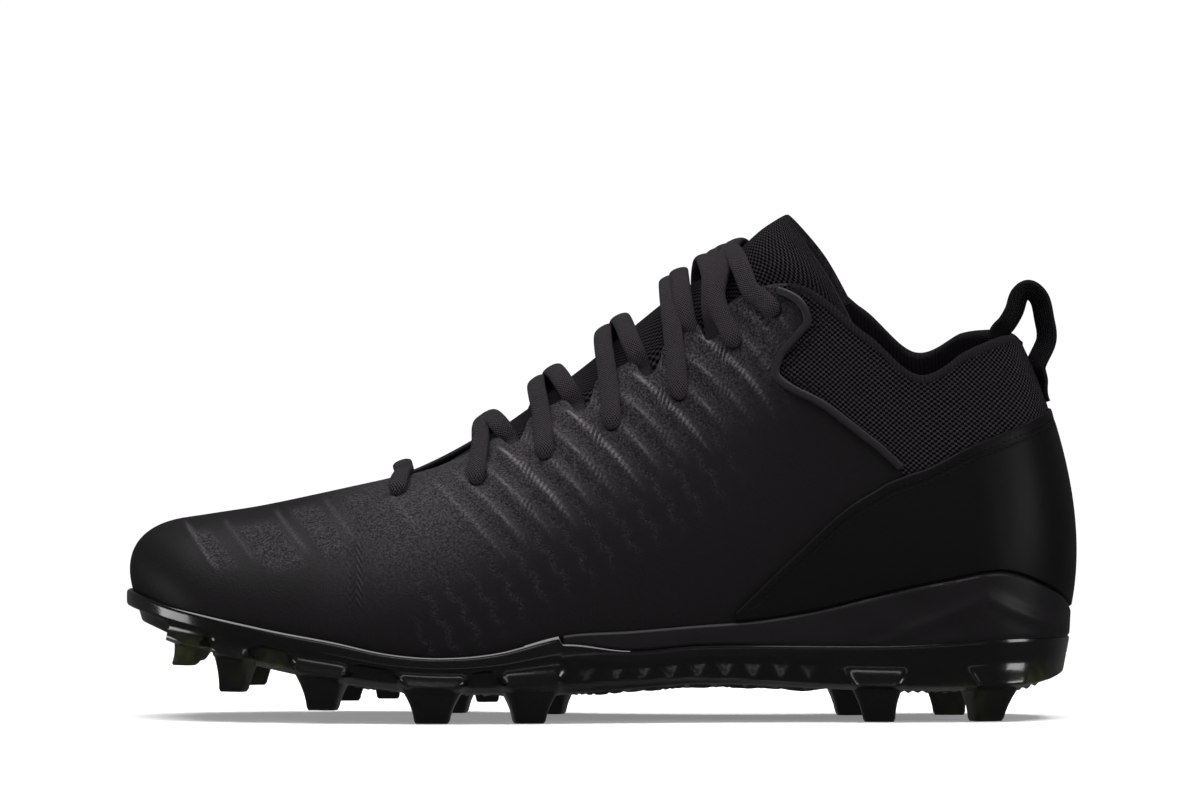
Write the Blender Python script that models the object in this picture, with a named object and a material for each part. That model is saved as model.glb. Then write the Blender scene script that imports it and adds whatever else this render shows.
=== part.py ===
"""American football cleat, a left shoe standing on its studs.

Toe at -X, heel at +X, lateral side at -Y, medial side at +Y, metres, floor at z = 0.
The upper is a ring of sections that runs from the toe tip along one side to the heel and back
along the other. Every other piece that touches it is worked out from the same sections.
"""
import math
from collections import namedtuple

import bmesh
import bpy
from mathutils import Vector

# Driving sizes
LENGTH = 0.295
BALL_WIDTH = 0.103
INSTEP_HEIGHT = 0.134
HEEL_HEIGHT = 0.118
SOLE_HEIGHT = 0.0465

# Clearances and walls
GAP = 0.0003
UPPER_WALL = 0.0020
COLLAR_WALL = 0.0055
COUNTER_WALL = 0.0012
PIPING_WIDTH = 0.0026
PIPING_HEIGHT = 0.0011
RIM_LIP = 0.0013
RIM_SWELL = 0.0007
SOLE_TUCK = 0.0030
SOLE_HEM = 0.0030
SEAT_INSET = 0.0020
SEAT_KNEE = 0.0016
SEAT_KNEE_RISE = 0.0010
INSOLE_THICKNESS = 0.0035
MIDSOLE_FRONT = 0.0012
PLATE_THICKNESS = 0.0032
STUD_ROOT = 0.0010
STUD_WELD = 0.00008
TONGUE_THICKNESS = 0.0038

# Eyelets, tabs and laces
EYELET_RADIUS = 0.0021
NOTCH_DEPTH = 0.0085
NOTCH_SHARE = 0.52
NOTCH_SHIFT = 0.10
LACE_WIDTH = 0.0062
LACE_THICKNESS = 0.0022
LACE_ARCH = 0.0014

# Pull loop
LOOP_WIDTH = 0.0095
LOOP_THICKNESS = 0.0014
LOOP_TWIST = math.radians(38.0)

# The last below the feather line and the sole's heights, a row for each section from toe to heel.
# along: share of LENGTH. lateral, medial: shares of BALL_WIDTH from the centre line.
# floor, rim, parting, under: shares of SOLE_HEIGHT for the upper's foot, the sole's top line,
# the line between midsole and plate, and the plate's underside.
Foot = namedtuple("Foot", "along lateral medial floor rim parting under")
FOOT = (
    Foot(0.0140, -0.087, 0.087, 0.705, 0.862, 0.862, 0.590),
    Foot(0.0225, 0.060, 0.215, 0.690, 0.845, 0.845, 0.575),
    Foot(0.0550, 0.223, 0.335, 0.615, 0.770, 0.770, 0.505),
    Foot(0.1000, 0.315, 0.393, 0.527, 0.700, 0.700, 0.425),
    Foot(0.1600, 0.383, 0.437, 0.440, 0.620, 0.620, 0.335),
    Foot(0.2200, 0.432, 0.461, 0.376, 0.552, 0.552, 0.270),
    Foot(0.2750, 0.461, 0.461, 0.323, 0.478, 0.478, 0.226),
    Foot(0.3300, 0.476, 0.447, 0.297, 0.450, 0.450, 0.202),
    Foot(0.3900, 0.471, 0.403, 0.301, 0.482, 0.482, 0.198),
    Foot(0.4600, 0.442, 0.340, 0.355, 0.592, 0.545, 0.198),
    Foot(0.5300, 0.403, 0.282, 0.409, 0.618, 0.500, 0.226),
    Foot(0.6000, 0.369, 0.248, 0.441, 0.652, 0.532, 0.256),
    Foot(0.6700, 0.345, 0.248, 0.462, 0.685, 0.535, 0.247),
    Foot(0.7400, 0.335, 0.267, 0.473, 0.762, 0.530, 0.222),
    Foot(0.8100, 0.335, 0.296, 0.473, 0.868, 0.530, 0.209),
    Foot(0.8700, 0.325, 0.306, 0.473, 0.945, 0.548, 0.209),
    Foot(0.9250, 0.286, 0.282, 0.473, 0.996, 0.572, 0.215),
    Foot(0.9650, 0.178, 0.178, 0.473, 0.862, 0.570, 0.240),
    Foot(0.9795, 0.000, 0.000, 0.473, 0.735, 0.566, 0.290),
)

# The upper's top line, a row for the same sections: ridge of the vamp, edge of the throat, collar.
# along: share of LENGTH. centre, open_l, open_m: shares of BALL_WIDTH for the ridge and how far
# the edge lies from it. height and medial_rise: shares of the instep height, or of the heel
# height where follows_heel is 1. flare and crown: shares of BALL_WIDTH that the section reaches
# outwards above its foot and beside its top. rise and fall: the same reaches up and down, as
# shares of the section's height.
Top = namedtuple("Top", "along centre open_l open_m height medial_rise follows_heel "
                        "flare rise crown fall")
TOP = (
    Top(0.0860, 0.070, 0.000, 0.000, 0.470, 0.000, 0.0, 0.088, 0.57, 0.230, 0.00),
    Top(0.0940, 0.070, 0.000, 0.000, 0.473, 0.000, 0.0, 0.088, 0.56, 0.230, 0.00),
    Top(0.1180, 0.069, 0.000, 0.000, 0.483, 0.000, 0.0, 0.084, 0.53, 0.235, 0.00),
    Top(0.1580, 0.068, 0.000, 0.000, 0.500, 0.000, 0.0, 0.075, 0.47, 0.240, 0.00),
    Top(0.2060, 0.065, 0.000, 0.000, 0.523, 0.000, 0.0, 0.068, 0.45, 0.275, 0.00),
    Top(0.2500, 0.060, 0.000, 0.000, 0.545, 0.000, 0.0, 0.062, 0.43, 0.300, 0.01),
    Top(0.2880, 0.056, 0.070, 0.060, 0.563, 0.002, 0.0, 0.058, 0.42, 0.280, 0.04),
    Top(0.3350, 0.052, 0.115, 0.100, 0.594, 0.016, 0.0, 0.056, 0.41, 0.250, 0.08),
    Top(0.3900, 0.050, 0.140, 0.130, 0.657, 0.022, 0.0, 0.056, 0.40, 0.215, 0.12),
    Top(0.4550, 0.050, 0.157, 0.150, 0.739, 0.034, 0.0, 0.055, 0.39, 0.180, 0.16),
    Top(0.5250, 0.050, 0.168, 0.160, 0.825, 0.067, 0.0, 0.053, 0.38, 0.150, 0.20),
    Top(0.5950, 0.050, 0.178, 0.168, 0.912, 0.078, 0.0, 0.053, 0.36, 0.125, 0.24),
    Top(0.6600, 0.048, 0.195, 0.178, 0.998, 0.052, 0.0, 0.058, 0.35, 0.100, 0.26),
    Top(0.7150, 0.040, 0.270, 0.240, 1.060, 0.055, 0.5, 0.064, 0.34, 0.060, 0.30),
    Top(0.7750, 0.015, 0.305, 0.300, 1.013, 0.055, 1.0, 0.070, 0.33, 0.030, 0.34),
    Top(0.8350, 0.005, 0.315, 0.315, 0.899, 0.048, 1.0, 0.080, 0.33, 0.030, 0.38),
    Top(0.8880, 0.000, 0.280, 0.285, 0.962, 0.038, 1.0, 0.095, 0.33, 0.050, 0.38),
    Top(0.9300, 0.000, 0.180, 0.185, 1.003, 0.010, 1.0, 0.117, 0.34, 0.092, 0.30),
    Top(0.9440, 0.000, 0.000, 0.000, 1.000, 0.000, 1.0, 0.130, 0.34, 0.104, 0.27),
)
LAST_ROW = len(FOOT) - 1
THROAT_ROW = 5
COLLAR_ROW = 13
MIDSOLE_ROW = 8.93

# Columns of the mesh for each side: from row, to row, how many
Span = namedtuple("Span", "start end count")
TOE_SPAN = Span(0, 5, 9)
VAMP_SPAN = Span(5, 7.9, 6)
HEEL_SPAN = Span(12.4, 18, 11)
SOLE_SPANS = (TOE_SPAN, Span(5, MIDSOLE_ROW, 8), Span(MIDSOLE_ROW, 12.4, 7), HEEL_SPAN)
GIRTH_SHARES = (0.0, 0.14, 0.29, 0.44, 0.59, 0.73, 0.86, 1.0)
SECTION_SAMPLES = 36
SOLE_CROSS = 2
INSOLE_CROSS = 1

# Eyelets from the toe up: the section's row, the girth share at which the hole sits, and the
# rows at which the strands from it reach the medial and the lateral edge of the throat
Eyelet = namedtuple("Eyelet", "row share over_medial over_lateral")
EYELETS = (
    Eyelet(6.12, 0.80, 6.10, 6.10), Eyelet(7.62, 0.78, 7.95, 8.15), Eyelet(8.72, 0.785, 8.80, 9.20),
    Eyelet(9.74, 0.80, 9.80, 10.20), Eyelet(10.77, 0.805, 10.72, 10.96),
    Eyelet(11.67, 0.88, 11.15, 11.32), Eyelet(12.42, 0.93, 11.35, 11.35),
)
FIRST_NOTCH = 1
LAST_NOTCH = 5

# Studs, a row for each. side: -1 lateral, 1 medial, 0 on the centre line. along, root_along,
# tip_along and lean, how far the tip leans towards the heel: shares of LENGTH. inset, of the root's
# middle from the foot's outline, root_across and tip_across: shares of BALL_WIDTH. tip: share of
# SOLE_HEIGHT.
Stud = namedtuple("Stud", "along side inset root_along root_across tip_along tip_across tip lean")
STUDS = (
    Stud(0.062, -1, 0.078, 0.0424, 0.126, 0.0271, 0.0485, 0.370, -0.0203),
    Stud(0.070, 1, 0.078, 0.0424, 0.126, 0.0271, 0.0485, 0.360, -0.0169),
    Stud(0.110, -1, 0.068, 0.0441, 0.136, 0.0288, 0.0583, 0.200, -0.0068),
    Stud(0.130, 1, 0.068, 0.0441, 0.136, 0.0288, 0.0583, 0.190, -0.0068),
    Stud(0.205, -1, 0.068, 0.0644, 0.146, 0.0322, 0.0680, 0.085, -0.0034),
    Stud(0.230, 1, 0.068, 0.0644, 0.146, 0.0322, 0.0680, 0.080, -0.0034),
    Stud(0.323, -1, 0.068, 0.0780, 0.155, 0.0373, 0.0777, 0.000, -0.0017),
    Stud(0.345, 1, 0.068, 0.0780, 0.155, 0.0373, 0.0777, 0.000, 0.0000),
    Stud(0.428, -1, 0.068, 0.0712, 0.146, 0.0339, 0.0728, 0.000, 0.0000),
    Stud(0.452, 1, 0.068, 0.0712, 0.146, 0.0339, 0.0728, 0.000, 0.0000),
    Stud(0.790, -1, 0.068, 0.0644, 0.146, 0.0339, 0.0728, 0.000, 0.0034),
    Stud(0.760, 1, 0.068, 0.0644, 0.146, 0.0339, 0.0728, 0.000, 0.0034),
    Stud(0.920, -1, 0.078, 0.0678, 0.146, 0.0339, 0.0777, 0.000, -0.0034),
    Stud(0.868, 1, 0.078, 0.0593, 0.146, 0.0339, 0.0728, 0.000, 0.0034),
    Stud(0.957, 1, 0.107, 0.0373, 0.117, 0.0237, 0.0583, 0.185, -0.0102),
    Stud(0.275, 0, 0.000, 0.0441, 0.097, 0.0237, 0.0583, 0.130, 0.0000),
    Stud(0.380, 0, 0.000, 0.0441, 0.097, 0.0237, 0.0583, 0.110, 0.0000),
)

# The counter's top seam: row and girth share, from its front tip to the heel
Mark = namedtuple("Mark", "row share")
COUNTER_SEAM = (
    Mark(11.60, 0.121), Mark(12.2, 0.212), Mark(12.9, 0.322), Mark(13.7, 0.466), Mark(14.4, 0.587),
    Mark(14.75, 0.648), Mark(15.1, 0.690), Mark(15.5, 0.708), Mark(15.9, 0.713), Mark(16.6, 0.727),
    Mark(17.3, 0.752), Mark(18.0, 0.770),
)
# The quarter's lapped edge over the collar mesh, from the throat down to the counter
QUARTER_EDGE = (
    Mark(12.50, 0.985), Mark(12.92, 0.965), Mark(13.05, 0.92), Mark(12.80, 0.86),
    Mark(12.48, 0.80), Mark(12.40, 0.75), Mark(12.75, 0.712), Mark(13.40, 0.694),
    Mark(13.95, 0.674), Mark(14.50, 0.636),
)

# The tongue above the laces, from the throat up to its flared top. row: the section whose top line
# it passes. lap: the share of the girth that it reaches down inside. along, height: its middle,
# as shares of LENGTH and INSTEP_HEIGHT. edge_lift: how far its borders stand above the collar.
TongueRow = namedtuple("TongueRow", "row lap along height edge_lift")
TONGUE_FREE = (
    TongueRow(12.05, 0.20, 0.650, 1.094, 0.0),
    TongueRow(12.65, 0.16, 0.668, 1.132, 0.0),
    TongueRow(13.25, 0.11, 0.684, 1.157, 0.0),
    TongueRow(13.75, 0.05, 0.694, 1.170, 0.0010),
    TongueRow(14.05, 0.01, 0.698, 1.172, 0.0055),
)
TONGUE_FOOT_ROW = 5.6
TONGUE_LAST_ROW = 11.45
TONGUE_LAP = 0.22
TONGUE_CROSS = 6
TONGUE_CLEAR = 0.0010
# How far the curves over the throat lean along the edges that they leave: little between the lower
# eyelets, more at the ankle, with the rows between which it grows
ARCH_REACH_LOW = 0.24
ARCH_REACH_HIGH = 0.36
ARCH_ROWS = (9.9, 11.1)

# The pull loop's middle line: heights sewn to the heel, girth shares tucked inside the collar with
# room for the flat band in the round collar, and the free run between them, along as a share of
# LENGTH, heights as shares of HEEL_HEIGHT
LOOP_SEWN = (0.835, 0.880, 0.925)
LOOP_TUCKED = (0.985, 0.940, 0.900, 0.865)
LOOP_BOW = 0.0012
LoopPoint = namedtuple("LoopPoint", "along height")
LOOP_TOP = (
    LoopPoint(0.9715, 1.000), LoopPoint(0.9690, 1.060),
    LoopPoint(0.9640, 1.110), LoopPoint(0.9530, 1.134), LoopPoint(0.9430, 1.118),
    LoopPoint(0.9375, 1.078), LoopPoint(0.9300, 1.045), LoopPoint(0.9205, 1.015),
)


def clear_scene():
    """Remove what a new file starts with."""
    for item in list(bpy.data.objects):
        bpy.data.objects.remove(item, do_unlink=True)


def station(along):
    """X of a share of the length, 0 at the toe and 1 at the heel."""
    return (along - 0.5) * LENGTH


def smooth(value, low, high):
    """Soft step from 0 at low to 1 at high."""
    share = min(1.0, max(0.0, (value - low) / (high - low)))
    return share * share * (3.0 - 2.0 * share)


def bump(value, middle, half):
    """Soft hump of height 1 at the middle, 0 beyond half on either side."""
    return 1.0 - smooth(abs(value - middle), 0.0, half)


def spline(before, start, end, after, share):
    """Catmull-Rom value between start and end."""
    slope_a = 0.5 * (end - before)
    slope_b = 0.5 * (after - start)
    a = 2.0 * start - 2.0 * end + slope_a + slope_b
    b = -3.0 * start + 3.0 * end - 2.0 * slope_a - slope_b
    return ((a * share + b) * share + slope_a) * share + start


def through(points, share):
    """Smooth curve through a list of vectors, share 0 to 1 over the whole list."""
    place = share * (len(points) - 1)
    index = min(int(place), len(points) - 2)
    before = points[max(index - 1, 0)]
    after = points[min(index + 2, len(points) - 1)]
    return spline(before, points[index], points[index + 1], after, place - index)


def direction(points, share, step):
    """Unit direction of the curve through points at a share of it."""
    return (through(points, min(1.0, share + step)) - through(points, max(0.0, share - step))).normalized()


def side_of(ring):
    """Row on the table and side, -1 lateral or 1 medial, of a place on the ring."""
    ring = ring % (2.0 * LAST_ROW)
    if ring <= LAST_ROW:
        return ring, -1
    return 2.0 * LAST_ROW - ring, 1


def on_ring(row, side):
    """Place on the ring of a row on the lateral (-1) or medial (1) side."""
    return row if side < 0 else (2.0 * LAST_ROW - row) % (2.0 * LAST_ROW)


def ring_value(lateral, medial, ring):
    """Value at a place on the ring, from a column for each side."""
    loop = list(lateral) + list(medial[-2:0:-1])
    ring = ring % len(loop)
    index = int(ring)
    picks = [loop[(index + step) % len(loop)] for step in (-1, 0, 1, 2)]
    return spline(picks[0], picks[1], picks[2], picks[3], ring - index)


def column(table, name, sign=1.0):
    """One column of a table."""
    return [sign * getattr(row, name) for row in table]


def foot_value(name, ring):
    """A column of the foot table that is the same on both sides."""
    values = column(FOOT, name)
    return ring_value(values, values, ring)


def top_value(name, ring):
    """A column of the top table that is the same on both sides."""
    values = column(TOP, name)
    return ring_value(values, values, ring)


def floor_height(ring):
    """Height of the upper's foot."""
    return foot_value("floor", ring) * SOLE_HEIGHT


def rim_height(ring):
    """Height of the sole's top line."""
    return foot_value("rim", ring) * SOLE_HEIGHT


def feather(ring):
    """Point of the upper's foot."""
    across = ring_value(column(FOOT, "lateral", -1.0), column(FOOT, "medial"), ring) * BALL_WIDTH
    return Vector((station(foot_value("along", ring)), across, floor_height(ring)))


def outward(ring):
    """Level direction pointing out of the foot's outline."""
    step = 0.05
    run = feather(ring + step) - feather(ring - step)
    return Vector((run.y, -run.x, 0.0)).normalized()


def top_point(ring):
    """Point of the ridge, throat edge or collar."""
    row, side = side_of(ring)
    centre = top_value("centre", ring)
    opening = 0.0
    rise = 0.0
    if row > THROAT_ROW:
        opening = ring_value(column(TOP, "open_l", -1.0), column(TOP, "open_m"), ring)
        rise = max(0.0, top_value("medial_rise", ring)) if side > 0 else 0.0
    heel = min(1.0, max(0.0, top_value("follows_heel", ring)))
    size = INSTEP_HEIGHT + (HEEL_HEIGHT - INSTEP_HEIGHT) * heel
    height = (top_value("height", ring) + rise) * size
    return Vector((station(top_value("along", ring)), (centre + opening) * BALL_WIDTH, height))


SECTIONS = {}


def section(ring):
    """Points of one section from foot to top, with the girth up to each."""
    key = round(ring % (2.0 * LAST_ROW), 6)
    if key not in SECTIONS:
        foot = feather(key)
        top = top_point(key)
        out = outward(key)
        tall = top.z - foot.z
        low = foot + out * (top_value("flare", key) * BALL_WIDTH)
        low.z += top_value("rise", key) * tall
        high = top + out * (top_value("crown", key) * BALL_WIDTH)
        high.z -= top_value("fall", key) * tall
        points = []
        for index in range(SECTION_SAMPLES + 1):
            t = index / SECTION_SAMPLES
            s = 1.0 - t
            points.append(foot * s ** 3 + low * (3 * s * s * t) + high * (3 * s * t * t) + top * t ** 3)
        girths = [0.0]
        for first, second in zip(points, points[1:]):
            girths.append(girths[-1] + (second - first).length)
        SECTIONS[key] = (points, girths)
    return SECTIONS[key]


def girth(ring):
    """Length of a section from foot to top."""
    return section(ring)[1][-1]


def skin(ring, share):
    """Point of the upper's outer face at a share of the girth."""
    points, girths = section(ring)
    target = min(1.0, max(0.0, share)) * girths[-1]
    for index in range(SECTION_SAMPLES):
        if girths[index + 1] >= target or index == SECTION_SAMPLES - 1:
            part = (target - girths[index]) / (girths[index + 1] - girths[index])
            return points[index].lerp(points[index + 1], part)
    return points[-1]


def share_at(ring, height):
    """Girth share at which a section first reaches a height."""
    points, girths = section(ring)
    for index in range(SECTION_SAMPLES):
        if points[index + 1].z >= height:
            part = (height - points[index].z) / (points[index + 1].z - points[index].z)
            part = min(1.0, max(0.0, part))
            return (girths[index] + part * (girths[index + 1] - girths[index])) / girths[-1]
    return 1.0


def slope_normal(ring, share):
    """Outward normal from neighbouring points of the skin."""
    step = 0.06
    low = max(0.0, share - 0.02)
    high = min(1.0, share + 0.02)
    along = skin(ring + step, share) - skin(ring - step, share)
    up = skin(ring, high) - skin(ring, low)
    return along.cross(up).normalized()


def normal(ring, share):
    """Outward unit normal of the upper, level at its foot and shared along the ridge."""
    row, side = side_of(ring)
    if row <= THROAT_ROW and share > 0.985:
        level = 0.96
        twin = on_ring(row, -side)
        return (slope_normal(ring, level) + slope_normal(twin, level)).normalized()
    found = slope_normal(ring, share)
    if share < 0.02:
        found.z = 0.0
        found.normalize()
    return found


def beyond(ring, share, distance):
    """Point at a distance outside the upper's outer face."""
    return skin(ring, share) + normal(ring, share) * distance


def wall(ring, share):
    """Thickness of the upper, padded at the collar."""
    row = side_of(ring)[0]
    padded = smooth(row, COLLAR_ROW - 1.0, COLLAR_ROW + 0.6) * smooth(share, 0.50, 0.80)
    return UPPER_WALL + (COLLAR_WALL - UPPER_WALL) * padded


def inside(ring, share, clearance=0.0):
    """Point of the upper's inner face, or further in by a clearance."""
    return beyond(ring, share, -wall(ring, share) - clearance)


def notches():
    """Middle row and half width, in rows, of each notch between the lace tabs."""
    found = []
    for first, second in zip(EYELETS[FIRST_NOTCH:LAST_NOTCH], EYELETS[FIRST_NOTCH + 1:]):
        middle = 0.5 * (first.row + second.row) + NOTCH_SHIFT
        found.append((middle, 0.5 * NOTCH_SHARE * (second.row - first.row)))
    return found


def edge_share(ring):
    """Girth share at which the upper ends: 1, less in the notches between the lace tabs."""
    row = side_of(ring)[0]
    for middle, half in notches():
        if abs(row - middle) < half:
            bowl = 1.0 - smooth(abs(row - middle) / half, 0.25, 1.0)
            return 1.0 - NOTCH_DEPTH * bowl / girth(ring)
    return 1.0


class Body:
    """Closed mesh built from faces whose equal points are welded."""

    def __init__(self):
        self.mesh = bmesh.new()
        self.known = {}

    def vertex(self, point):
        """Vertex at a point, made once."""
        key = (round(point.x, 7), round(point.y, 7), round(point.z, 7))
        if key not in self.known:
            self.known[key] = self.mesh.verts.new(point)
        return self.known[key]

    def face(self, *points):
        """Face through points, left out where it has no area."""
        corners = []
        for point in points:
            vertex = self.vertex(point)
            if vertex not in corners:
                corners.append(vertex)
        if len(corners) > 2:
            self.mesh.faces.new(corners)

    def band(self, first, second, closed=True):
        """Faces between two rows of points."""
        count = len(first) if closed else len(first) - 1
        for index in range(count):
            after = (index + 1) % len(first)
            self.face(first[index], first[after], second[after], second[index])

    def finish(self, name, colour, rough, metal=0.0):
        """Turn the faces outwards, triangulate, and make the object."""
        bmesh.ops.recalc_face_normals(self.mesh, faces=self.mesh.faces)
        if self.mesh.calc_volume(signed=True) < 0.0:
            bmesh.ops.reverse_faces(self.mesh, faces=self.mesh.faces)
        bmesh.ops.triangulate(self.mesh, faces=self.mesh.faces)
        data = bpy.data.meshes.new(name)
        self.mesh.to_mesh(data)
        self.mesh.free()
        data.shade_smooth()
        data.set_sharp_from_angle(angle=math.radians(40.0))
        return add_object(name, data, colour, rough, metal)


def add_object(name, data, colour, rough, metal=0.0):
    """Object with its own Principled material."""
    item = bpy.data.objects.new(name, data)
    bpy.context.scene.collection.objects.link(item)
    finish = bpy.data.materials.new(name + "_finish")
    finish.use_nodes = True
    shader = finish.node_tree.nodes["Principled BSDF"]
    shader.inputs["Base Color"].default_value = (colour[0], colour[1], colour[2], 1.0)
    shader.inputs["Roughness"].default_value = rough
    shader.inputs["Metallic"].default_value = metal
    finish.diffuse_color = (colour[0], colour[1], colour[2], 1.0)
    data.materials.append(finish)
    return item


def as_tool(item):
    """Mark an object as a cutter or an operand that is not part of the shoe."""
    item.hide_render = True
    item.display_type = "WIRE"


def combine(item, tool, operation):
    """Boolean of an object with a tool."""
    step = item.modifiers.new(operation.lower(), "BOOLEAN")
    step.operation = operation
    step.object = tool
    step.solver = "EXACT"
    as_tool(tool)


def columns(spans):
    """Rows at which one side is cut into columns, from toe to heel."""
    rows = []
    for span in spans:
        for index in range(span.count):
            rows.append(span.start + (span.end - span.start) * index / span.count)
    rows.append(float(LAST_ROW))
    return rows


def upper_columns():
    """Columns of the upper, with five at each notch and one on each tab between."""
    rows = columns((TOE_SPAN, VAMP_SPAN, HEEL_SPAN))
    spots = notches()
    for middle, half in spots:
        rows += [middle + half * part for part in (-1.0, -0.6, 0.0, 0.6, 1.0)]
    for first, second in zip(spots, spots[1:]):
        rows.append(0.5 * (first[0] + second[0]))
    rows += [spots[-1][0] + spots[-1][1] + 0.28, HEEL_SPAN.start - 0.28]
    return sorted(rows)


def full_ring(rows):
    """Places right round the shoe: lateral rows from toe to heel, then medial rows back."""
    return list(rows) + [2.0 * LAST_ROW - row for row in rows[-2:0:-1]]


def cap(body, rows, point, count):
    """Close a ring with strips across the shoe; point(ring) gives its border."""
    lines = []
    for row in rows:
        left = point(on_ring(row, -1))
        right = point(on_ring(row, 1))
        lines.append([left.lerp(right, index / count) for index in range(count + 1)])
    for first, second in zip(lines, lines[1:]):
        body.band(first, second, closed=False)


def build_upper():
    """Hollow bootie with scalloped throat tabs, padded collar and open foot."""
    body = Body()
    rows = upper_columns()
    places = full_ring(rows)
    outer = []
    inner = []
    for share in GIRTH_SHARES:
        outer.append([skin(ring, share * edge_share(ring)) for ring in places])
        inner.append([inside(ring, share * edge_share(ring)) for ring in places])
    for ring_points in inner[0], outer[0]:
        for index, ring in enumerate(places):
            ring_points[index].z = floor_height(ring)
    for first, second in zip(outer, outer[1:]):
        body.band(first, second)
    for first, second in zip(inner, inner[1:]):
        body.band(second, first)
    body.band(inner[0], outer[0])
    crest = []
    for index, ring in enumerate(places):
        share = edge_share(ring)
        middle = outer[-1][index].lerp(inner[-1][index], 0.5)
        up = (skin(ring, share) - skin(ring, share - 0.03)).normalized()
        crest.append(middle + up * (0.32 * wall(ring, share)))
    for index, ring in enumerate(places):
        after = (index + 1) % len(places)
        row = side_of(ring)[0]
        row_after = side_of(places[after])[0]
        if min(row, row_after) < THROAT_ROW - 1e-6:
            continue
        # the front end of the throat has one crest point for both sides
        for spot, at in ((index, row), (after, row_after)):
            if abs(at - THROAT_ROW) < 1e-6:
                crest[spot] = outer[-1][spot].lerp(inner[-1][spot], 0.5)
        body.face(outer[-1][index], outer[-1][after], crest[after], crest[index])
        body.face(crest[index], crest[after], inner[-1][after], inner[-1][index])
    upper = body.finish("upper", (0.012, 0.011, 0.013), 0.72)
    combine(upper, eyelet_cutters(), "DIFFERENCE")
    return upper


def prism(body, rings):
    """Closed body through rings of points, flat at both ends."""
    for first, second in zip(rings, rings[1:]):
        body.band(first, second)
    body.face(*rings[0])
    body.face(*reversed(rings[-1]))


def eyelet_cutters():
    """One plug for each eyelet, square to the eyestay."""
    body = Body()
    sides = 8
    for side in (-1, 1):
        for eyelet in EYELETS:
            ring = on_ring(eyelet.row, side)
            centre = skin(ring, eyelet.share)
            out = normal(ring, eyelet.share)
            across = out.orthogonal().normalized()
            over = out.cross(across)
            rings = []
            for depth in (0.002, -UPPER_WALL - 0.002):
                circle = []
                for index in range(sides):
                    angle = 2.0 * math.pi * index / sides
                    spoke = across * math.cos(angle) + over * math.sin(angle)
                    circle.append(centre + out * depth + spoke * EYELET_RADIUS)
                rings.append(circle)
            prism(body, rings)
    return body.finish("eyelet_cutters", (0.5, 0.5, 0.5), 0.5)


def rim_line(ring, height, distance):
    """Point beside the upper at a height, at a level distance outside it."""
    share = share_at(ring, height)
    point = skin(ring, share) + outward(ring) * distance
    point.z = height
    return point


def has_midsole(ring):
    """Whether the midsole lies over the plate at this place."""
    return side_of(ring)[0] > MIDSOLE_ROW + 1e-6


def plate_floor(ring):
    """Height of the plate's upper face: the upper's foot in front, the midsole's seat behind."""
    base = floor_height(ring) - GAP
    if not has_midsole(ring):
        return base
    sunk = MIDSOLE_FRONT + GAP
    deep = base - (foot_value("under", ring) * SOLE_HEIGHT + PLATE_THICKNESS)
    blend = smooth(side_of(ring)[0], MIDSOLE_ROW, MIDSOLE_ROW + 3.5)
    return base - (sunk + max(0.0, deep - sunk) * blend)


def beside_foot(ring, distance, height):
    """Point at a level distance outside the foot's outline."""
    point = feather(ring) + outward(ring) * distance
    point.z = height
    return point


def side_profile(ring):
    """Outer face of the whole sole from the rim down to the underside's edge."""
    rim = rim_height(ring)
    low = foot_value("under", ring) * SOLE_HEIGHT
    swollen = rim_line(ring, rim, GAP + RIM_LIP + RIM_SWELL).lerp(beside_foot(ring, SOLE_HEM, low), 0.30)
    swollen.z = rim - 0.35 * (rim - low)
    return (
        rim_line(ring, rim, GAP + RIM_LIP),
        swollen,
        beside_foot(ring, SOLE_HEM, low + 0.55 * (plate_floor(ring) - low)),
        beside_foot(ring, -SOLE_TUCK, low),
    )


def side_point(ring, height):
    """Point of the sole's outer face at a height."""
    profile = side_profile(ring)
    for upper_point, lower_point in zip(profile, profile[1:]):
        if height >= lower_point.z - 1e-9:
            part = (upper_point.z - height) / (upper_point.z - lower_point.z)
            return upper_point.lerp(lower_point, min(1.0, max(0.0, part)))
    return profile[-1]


def build_outsole():
    """Glossy plate: rim cup in front, seat for the midsole behind, and the studs."""
    rows = columns(SOLE_SPANS)
    step_row = MIDSOLE_ROW + 0.03
    rows = sorted(rows + [step_row])
    places = full_ring(rows)

    def floor_point(ring):
        if has_midsole(ring):
            return beside_foot(ring, -SEAT_INSET, plate_floor(ring))
        return beside_foot(ring, GAP, plate_floor(ring))

    def top_height(ring):
        if has_midsole(ring):
            return foot_value("parting", ring) * SOLE_HEIGHT - GAP
        return rim_height(ring)

    def foot_inner(ring):
        if has_midsole(ring):
            return beside_foot(ring, SEAT_KNEE, plate_floor(ring) + SEAT_KNEE_RISE)
        return rim_line(ring, 0.5 * (plate_floor(ring) + top_height(ring)), GAP)

    def top_inner(ring):
        if has_midsole(ring):
            return foot_inner(ring).lerp(side_point(ring, top_height(ring)), 0.85)
        return rim_line(ring, top_height(ring), GAP)

    def outer_row(ring, share):
        low = foot_value("under", ring) * SOLE_HEIGHT
        return side_point(ring, low + (top_height(ring) - low) * share)

    def under_point(ring):
        return outer_row(ring, 0.0)

    body = Body()
    chain = [[floor_point(r) for r in places], [foot_inner(r) for r in places],
             [top_inner(r) for r in places]]
    for share in (1.0, 0.62, 0.16, 0.0):
        chain.append([outer_row(r, share) for r in places])
    for first, second in zip(chain, chain[1:]):
        body.band(first, second)
    cap(body, rows, floor_point, SOLE_CROSS)
    cap(body, rows, under_point, SOLE_CROSS)
    plate = body.finish("outsole", (0.010, 0.010, 0.011), 0.18)
    combine(plate, stud_blocks(), "UNION")
    weld = plate.modifiers.new("weld", "WELD")
    weld.merge_threshold = STUD_WELD
    return plate


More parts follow.
